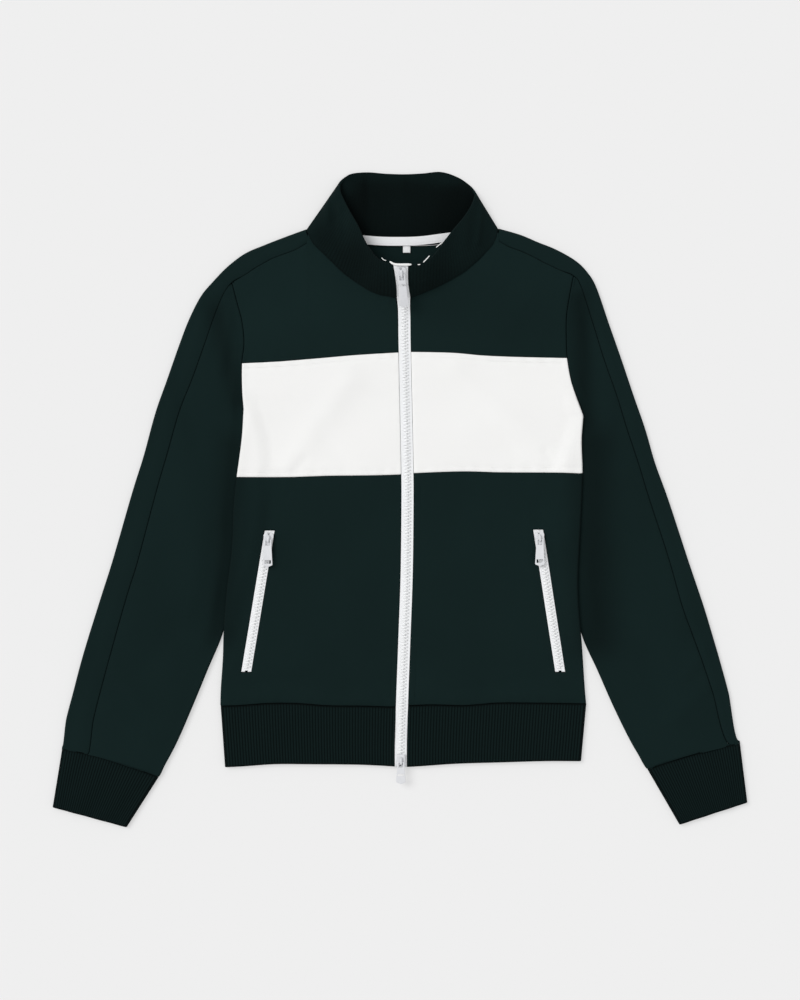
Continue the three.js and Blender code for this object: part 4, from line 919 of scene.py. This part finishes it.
def makePocketZip(side):
    name = side["name"]
    top, end = np.array(side["pocketTop"]), np.array(side["pocketEnd"])
    share = np.concatenate([np.linspace(0.004, 0.07, 15), np.linspace(0.07, 0.996, 38)[1:]])
    place = lerp(end, top, share[:, None])
    along = np.append(top - end, 0) / np.linalg.norm(top - end)
    half = np.full(len(share), cut["pocketHalf"] - 0.3)
    line = {"centre": grid(place[:, 0], place[:, 1], bodyHeight(place[:, 0], place[:, 1]) - cut["zipSink"]),
            "along": np.repeat(along[None], len(share), 0),
            "across": np.repeat(np.array([[along[1], -along[0], 0]]), len(share), 0),
            "normal": np.repeat(np.array([[0.0, 0, 1]]), len(share), 0), "half": half}
    slant = dict(line, across=np.repeat(np.array([[1.0, 0, 0]]), len(share), 0))

    def shares(half):
        return lerp(-half, half, spaced(11.4, 0.55, (0, 0.2, 0.5))[None])

    # the tape is notched at its lower end, with a small hole for its stop, where its rows are closer
    across, down = shares(half[:, None])[0], share * np.linalg.norm(top - end)
    middle, depth = (np.abs(across[:-1] + across[1:]) / 2)[None], ((down[:-1] + down[1:]) / 2)[:, None]
    keep = ~((middle < 1.5) & (depth < 2.3)) & ~((middle < 0.9) & (depth > 8.2) & (depth < 9.6))
    tape = strip(f"{name}_pocket_tape_cloth", slant, shares, tapeHeight, cut["tapeCloth"], keep=keep)
    keepPiece(tape, f"{name}_pocket_tape", "white_tape")
    keepPiece(teeth(f"{name}_pocket_teeth", line, 5, 12, 0.2), f"{name}_pocket_coil", "zip_teeth")


def softened(node, width, body):
    # a copy of the solid with its doubles merged and its edges rounded
    source = bpy.data.objects[node]
    mesh = source.data.copy()
    piece = bpy.data.objects.new(f"{node}_shape", mesh)
    bpy.context.scene.collection.objects.link(piece)
    work = bmesh.new()
    work.from_mesh(mesh)
    bmesh.ops.remove_doubles(work, verts=work.verts, dist=1e-6)
    bmesh.ops.dissolve_limit(work, angle_limit=math.radians(1), verts=work.verts, edges=work.edges)
    work.to_mesh(mesh)
    work.free()
    if node == "top_pull":
        # its lower slot sits nearer the bar here than in the solid
        spots = np.array([vertex.co for vertex in mesh.vertices]) / mm
        away = np.array([0.07, -0.92, -0.385])
        far = (spots - np.array([1.6, 254.4, 37.2])) @ away
        inSlot = (np.abs(spots[:, 0] - 1.6 - far * 0.07) < 4.2) & (far > 12.5) & (far < 17)
        spots -= inSlot[:, None] * away * 2.6
        mesh.vertices.foreach_set("co", (spots * mm).ravel())
    bevel = piece.modifiers.new("roundEdges", "BEVEL")
    bevel.width, bevel.segments = width * mm, 3
    bevel.limit_method, bevel.angle_limit = "ANGLE", math.radians(30)
    mesh.polygons.foreach_set("use_smooth", np.ones(len(mesh.polygons), dtype=bool))
    keepPiece(piece, node, "painted_metal", body)


def ringOf(across, turn):
    # unit vectors round a level thread: its own sideways vector and straight up, at each turn
    return across[:, None] * np.cos(turn)[None, :, None] + np.array([0, 0, 1.0]) * np.sin(turn)[None, :, None]


def stitchRow(path, length=2.3, pitch=3.1, radius=0.28):
    # points and faces of a row of stitches: each is a small six-sided spindle along the path
    walk = np.concatenate([[0], np.cumsum(np.linalg.norm(np.diff(path, axis=0), axis=1))])
    places = np.arange(1.5, walk[-1] - 1.5, pitch)
    where = np.stack([np.interp(places, walk, path[:, axis]) for axis in range(3)], -1)
    ahead = np.stack([np.interp(places + 0.5, walk, path[:, axis]) for axis in range(3)], -1)
    along = ahead - where
    along /= np.linalg.norm(along, axis=1, keepdims=True)
    across = np.cross([0, 0, 1.0], along)
    turn = np.linspace(0, 2 * math.pi, 6, endpoint=False)
    rings = [(-0.5, 0.35), (-0.25, 1.0), (0.25, 1.0), (0.5, 0.35)]
    ring = ringOf(across, turn)
    points = np.concatenate([where[:, None] + along[:, None] * (share * length) + ring * radius * size
                             for share, size in rings], 1)
    faces = [[i + 6 * k, (i + 1) % 6 + 6 * k, (i + 1) % 6 + 6 * k + 6, i + 6 * k + 6]
             for k in range(3) for i in range(6)]
    faces += [[3, 2, 1, 0], [5, 4, 3, 0], [18, 19, 20, 21], [18, 21, 22, 23]]
    step = np.arange(len(places))[:, None, None] * 24
    return points.reshape(-1, 3), (np.array(faces)[None] + step).reshape(-1, 4)


def bead(path, radius):
    # points and faces of an eight-sided bead along a path, tapered to both ends
    share = np.linspace(0, 1, len(path))
    size = radius * np.sqrt(1 - (2 * share - 1) ** 6) + 0.05
    turn = np.linspace(0, 2 * math.pi, 8, endpoint=False)
    along = np.gradient(path, axis=0)
    along /= np.linalg.norm(along, axis=1, keepdims=True)
    across = np.cross([0, 0, 1.0], along)
    points = path[:, None] + ringOf(across, turn) * size[:, None, None]
    a = np.arange(len(path) - 1)[:, None] * 8 + np.arange(8)[None]
    b = np.arange(len(path) - 1)[:, None] * 8 + (np.arange(8) + 1)[None] % 8
    return points.reshape(-1, 3), np.stack([a, b, b + 8, a + 8], -1).reshape(-1, 4)


def joined(name, parts, slot):
    # several sets of points and faces as one piece with no solid of its own
    starts = np.cumsum([0] + [len(points) for points, faces in parts])
    piece = meshOf(name, np.concatenate([points for points, faces in parts]),
                   np.concatenate([faces + start for (points, faces), start in zip(parts, starts)]))
    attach(piece, "jacket")
    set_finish(piece, slot)
    pieces[name] = piece


def makeStitches():
    # the white panel is edge stitched above its lower and below its upper seam, and along the zip
    white, green = [], []
    for side in sides:
        sign = side["sign"]
        limits = (-176, -9) if sign < 0 else (20, 186)
        x = np.arange(limits[0], limits[1], 2.0)
        for y in (chestEnd(x) + 5.7, chestTop(x) - 5.7):
            white.append(grid(x, y, bodyHeight(x, y) - 0.4))
        for low, high, rows in ((36, 162, white), (-232, 22, green), (176, 222, green)):
            y = np.arange(low, high, 2.0)
            x = curve(zipMiddleLine, y) + sign * (cut["zipHalf"] + 7.1)
            rows.append(grid(x, y, bodyHeight(x, y) - 0.4))
    joined("chest_stitching", [stitchRow(path) for path in white], "white_knit")
    joined("front_stitching", [stitchRow(path) for path in green], "green_knit")


def makeNeck():
    x = np.linspace(-80, 92, 90)
    share = spaced(10, 0.8, (0, 0.2, 0.5))
    y = collarBase(x, False)[None] + lerp(0.3, 10.4, share)[:, None] + ease((x - 5) / 50)[None] * 2.6
    z = cut["collarCloth"] + 1.5 + 0.15 * np.sin(x / 6)[None] + groove(share * 10, 1.6, 0.5, 0.25)[:, None]
    tape = clothWall("neck_tape_cloth", grid(x[None], y, z), 0.8)
    keepPiece(tape, "neck_tape", "white_tape")
    # thin white beads over the collar's front edge where bright slivers show, and the zip's folded top:
    # points and radius
    slivers = [
        {"points": [[41, 286, 33.6], [45, 289.5, 33], [48.5, 292, 32.3]], "radius": 0.45},
        {"points": [[26.3, 268.8, 36.5], [30, 272.5, 36.3], [33.6, 276.6, 35.9]], "radius": 0.5},
        {"points": [[20, 266.3, 36.8], [21.5, 266.2, 36.8], [23, 266.8, 36.7]], "radius": 0.45},
        {"points": [[-21, 274.2, 36.3], [-18.5, 271.8, 36.6], [-15.5, 270.8, 36.7]], "radius": 0.35},
        {"points": [[-11.8, 270, 36.6], [-7, 267, 37.2], [1, 266, 37.6], [9, 266, 37.3], [13.2, 266.6, 36.9]],
         "radius": 1.15},
    ]
    along = np.linspace(0, 1, 24)
    joined("neck_tape_folds", [bead(rowsAt(row["points"], along), row["radius"]) for row in slivers],
           "white_knit")
    x = np.linspace(3.4, 12.0, 10)
    y = np.linspace(283.3, 292.5, 12)
    z = 3.4 + 0.5 * np.cos((y - 281) / 4)[:, None]
    tab = clothWall("size_tab_cloth", grid(x[None], y[:, None], z), 0.6)
    keepPiece(tab, "size_tab", "white_tape")


print("setting the zips")
makeMainZip()
for side in sides:
    makePocketZip(side)
for node in ("top", "bottom", "right_pocket", "left_pocket"):
    softened(f"{node}_slider", 0.35, "jacket")
    softened(f"{node}_pull", 0.3, f"{node}_pull_body")
makeStitches()
makeNeck()


# Materials
dullCloth = {"Specular_IOR_Level": 0.06, "Sheen_Weight": 0.01, "Sheen_Roughness": 0.5}


class Signal:
    # a number from a node; adding or multiplying signals adds Math nodes
    def __init__(self, kit, socket):
        self.kit, self.socket = kit, socket

    def __add__(self, other):
        return self.kit.math("ADD", self, other)

    def __mul__(self, other):
        return self.kit.math("MULTIPLY", self, other)

    __radd__, __rmul__ = __add__, __mul__


class Finish:
    # a material with its own nodes
    def __init__(self, name, **sockets):
        self.material = bpy.data.materials.new(name)
        self.material.use_nodes = True
        self.nodes, self.links = self.material.node_tree.nodes, self.material.node_tree.links
        self.shader = self.nodes["Principled BSDF"]
        for socket, value in sockets.items():
            self.shader.inputs[socket.replace("_", " ")].default_value = value

    def node(self, kind, settings=None, **values):
        made = self.nodes.new(kind)
        for key, value in (settings or {}).items():
            setattr(made, key, value)
        for key, value in values.items():
            place = int(key[1:]) if key[0] == "i" and key[1:].isdigit() else key.replace("_", " ")
            self.feed(made.inputs[place], value)
        return made

    def feed(self, socket, value):
        if isinstance(value, Signal):
            self.links.new(value.socket, socket)
        elif isinstance(value, bpy.types.NodeSocket):
            self.links.new(value, socket)
        else:
            socket.default_value = value

    def math(self, operation, first, second=0.0):
        made = self.node("ShaderNodeMath", {"operation": operation}, i0=first, i1=second)
        return Signal(self, made.outputs[0])

    def clamped(self, value):
        return self.math("MINIMUM", self.math("MAXIMUM", value, 0.0), 1.0)

    def attribute(self, name):
        return Signal(self, self.node("ShaderNodeAttribute", {"attribute_name": name}).outputs["Fac"])

    def noise(self, scale, detail=2.0):
        place = self.node("ShaderNodeTexCoord").outputs["Object"]
        made = self.node("ShaderNodeTexNoise", None, Vector=place, Scale=scale, Detail=detail)
        return Signal(self, made.outputs["Fac"])

    def uv(self):
        parts = self.node("ShaderNodeSeparateXYZ", None, i0=self.node("ShaderNodeTexCoord").outputs["UV"])
        return Signal(self, parts.outputs["X"]), Signal(self, parts.outputs["Y"])

    def blend(self, factor, first, second):
        made = self.node("ShaderNodeMix", {"data_type": "RGBA"}, i0=factor, i6=first, i7=second)
        return made.outputs[2]

    def colour(self, value):
        self.feed(self.shader.inputs["Base Color"], value)

    def roughness(self, value):
        self.feed(self.shader.inputs["Roughness"], value)

    def bump(self, height, distance, strength=1.0):
        made = self.node("ShaderNodeBump", None, Height=height, Distance=distance, Strength=strength)
        self.feed(self.shader.inputs["Normal"], made.outputs["Normal"])


def knit(finish, wale, course):
    # rows of small V loops: columns a wale apart, each loop a course long, its two legs leaning apart
    across, along = finish.uv()
    column = finish.math("SINE", across * (2 * math.pi / (wale * mm)))
    leg = finish.math("ABSOLUTE", column)
    slope = finish.math("SINE", along * (2 * math.pi / (course * mm)) + leg * 2.2)
    return leg * 0.65 + slope * 0.35


def knitFinish(name, shade, light, wale=1.3, course=1.1, depth=0.00012, **sockets):
    finish = Finish(name, **sockets)
    loops = knit(finish, wale, course)
    cloudy = finish.noise(9.0, 3.0)
    fluff = finish.noise(900.0, 2.0)
    # the shade mark adds painted shade and light to the knit's colour
    mixed = cloudy * 0.24 + loops * 0.13 + fluff * 0.11 + finish.attribute("shade") + 0.3
    finish.colour(finish.blend(finish.clamped(mixed), shade, light))
    finish.roughness(0.82 + fluff * 0.14)
    finish.bump(loops + fluff * 0.35, depth, 0.7)
    return finish.material


def ribFinish(name, shade, light):
    finish = Finish(name, **dullCloth)
    across, along = finish.uv()
    ridge = finish.attribute("ridge")
    column = finish.math("ABSOLUTE", finish.math("SINE", across * (2 * math.pi / (1.6 * mm))))
    stitch = finish.math("SINE", along * (2 * math.pi / (1.3 * mm)) + column * 2.0)
    fluff = finish.noise(700.0, 2.0)
    # ridge paints the rib's grooves darker and its ridges lighter, with the collar's painted shade and light
    mixed = ridge * 0.75 + stitch * 0.1 + fluff * 0.3
    finish.colour(finish.blend(finish.clamped(mixed), shade, light))
    finish.roughness(0.86 + fluff * 0.1)
    finish.bump(stitch * 0.5 + fluff * 0.5, 0.00015, 0.6)
    return finish.material


def tapeFinish(name, shade, light):
    # a twill tape: fine slanting ridges and a faint row of threads
    finish = Finish(name, Specular_IOR_Level=0.25, Sheen_Weight=0.05, Sheen_Roughness=0.4)
    across, along = finish.uv()
    twill = finish.math("SINE", (across + along) * (2 * math.pi / (0.8 * mm)))
    thread = finish.math("SINE", along * (2 * math.pi / (0.45 * mm)))
    fluff = finish.noise(600.0, 2.0)
    mixed = twill * 0.2 + thread * 0.1 + fluff * 0.4 + 0.35
    finish.colour(finish.blend(mixed, shade, light))
    finish.roughness(0.7 + fluff * 0.15)
    finish.bump(twill + thread * 0.5, 0.00008, 0.6)
    return finish.material


def toothFinish(name):
    finish = Finish(name, Specular_IOR_Level=0.45)
    speck = finish.noise(300.0, 2.0)
    finish.colour(finish.blend(speck, (0.86, 0.87, 0.88, 1), (0.94, 0.95, 0.95, 1)))
    finish.roughness(0.32 + speck * 0.12)
    return finish.material


def enamelFinish(name):
    # white enamel over cast metal, with a clear coat and a faint orange peel
    finish = Finish(name, Specular_IOR_Level=0.5, Coat_Weight=0.35, Coat_Roughness=0.12)
    speck = finish.noise(220.0, 3.0)
    finish.colour(finish.blend(speck, (0.65, 0.66, 0.685, 1), (0.74, 0.75, 0.775, 1)))
    finish.roughness(0.3 + speck * 0.12)
    finish.bump(speck, 0.00003, 0.5)
    return finish.material


def greenOf(level, tint=(0.37, 1.0, 0.98)):
    return tuple(level * part for part in tint) + (1.0,)


print("dyeing the cloth")
finishes = {
    "green_knit": knitFinish("greenKnit", greenOf(0.0074), greenOf(0.0226), **dullCloth),
    "dark_green_knit": knitFinish("darkGreenKnit", greenOf(0.0068), greenOf(0.0208), **dullCloth),
    "white_knit": knitFinish("whiteKnit", (0.84, 0.84, 0.83, 1), (0.93, 0.93, 0.92, 1),
                             Specular_IOR_Level=0.2, Sheen_Weight=0.03, Sheen_Roughness=0.5),
    "rib_knit": ribFinish("ribKnit", greenOf(0.0030), greenOf(0.0180)),
    "white_tape": tapeFinish("whiteTape", (0.84, 0.85, 0.87, 1), (0.94, 0.95, 0.96, 1)),
    "zip_teeth": toothFinish("zipTeeth"),
    "painted_metal": enamelFinish("whiteEnamel"),
}
for piece in pieces.values():
    piece.data.materials.clear()
    piece.data.materials.append(finishes[piece["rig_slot"]])


# Floor, light and camera
def makeStudio():
    room = {"floor": 6.0, "floorColour": (0.4, 0.4, 0.4, 1), "glow": 0.451, "sky": 0.525}
    suns = {"key": {"share": 0.41, "height": 50, "heading": 150, "width": 35},
            "fill": {"share": 0.095, "height": 60, "heading": -40, "width": 60}}
    corner = room["floor"] / 2 / mm
    points = np.array([[-corner, -corner, -0.25], [corner, -corner, -0.25], [corner, corner, -0.25],
                       [-corner, corner, -0.25]])
    floor = meshOf("floor", points, np.array([[0, 1, 2, 3]]))
    finish = Finish("paleFloor", Specular_IOR_Level=0.0, Roughness=0.9, Base_Color=room["floorColour"],
                    Emission_Color=(1, 1, 1, 1), Emission_Strength=room["glow"])
    floor.data.materials.append(finish.material)
    world = bpy.data.worlds.new("studio")
    world.use_nodes = True
    world.node_tree.nodes["Background"].inputs["Color"].default_value = (1, 1, 1, 1)
    world.node_tree.nodes["Background"].inputs["Strength"].default_value = room["sky"]
    bpy.context.scene.world = world
    for name, sun in suns.items():
        # a sun whose share of the light on a level surface is given, at a height and heading in degrees
        light = bpy.data.lights.new(name, "SUN")
        light.angle = math.radians(sun["width"])
        light.energy = math.pi * sun["share"] / math.sin(math.radians(sun["height"]))
        lamp = bpy.data.objects.new(name, light)
        lamp.rotation_euler = (0, math.radians(90 - sun["height"]), math.radians(sun["heading"]))
        bpy.context.scene.collection.objects.link(lamp)
    camera = bpy.data.cameras.new("camera")
    distance, viewHeight = 2.6, 1.15
    camera.sensor_fit, camera.sensor_height, camera.sensor_width = "VERTICAL", 24, 36
    camera.lens = 24 * distance / viewHeight
    eye = bpy.data.objects.new("camera", camera)
    eye.location = (0, -0.0006, distance)
    bpy.context.scene.collection.objects.link(eye)
    bpy.context.scene.camera = eye
    bpy.context.scene.view_settings.view_transform = "Standard"


print("setting the studio")
makeStudio()
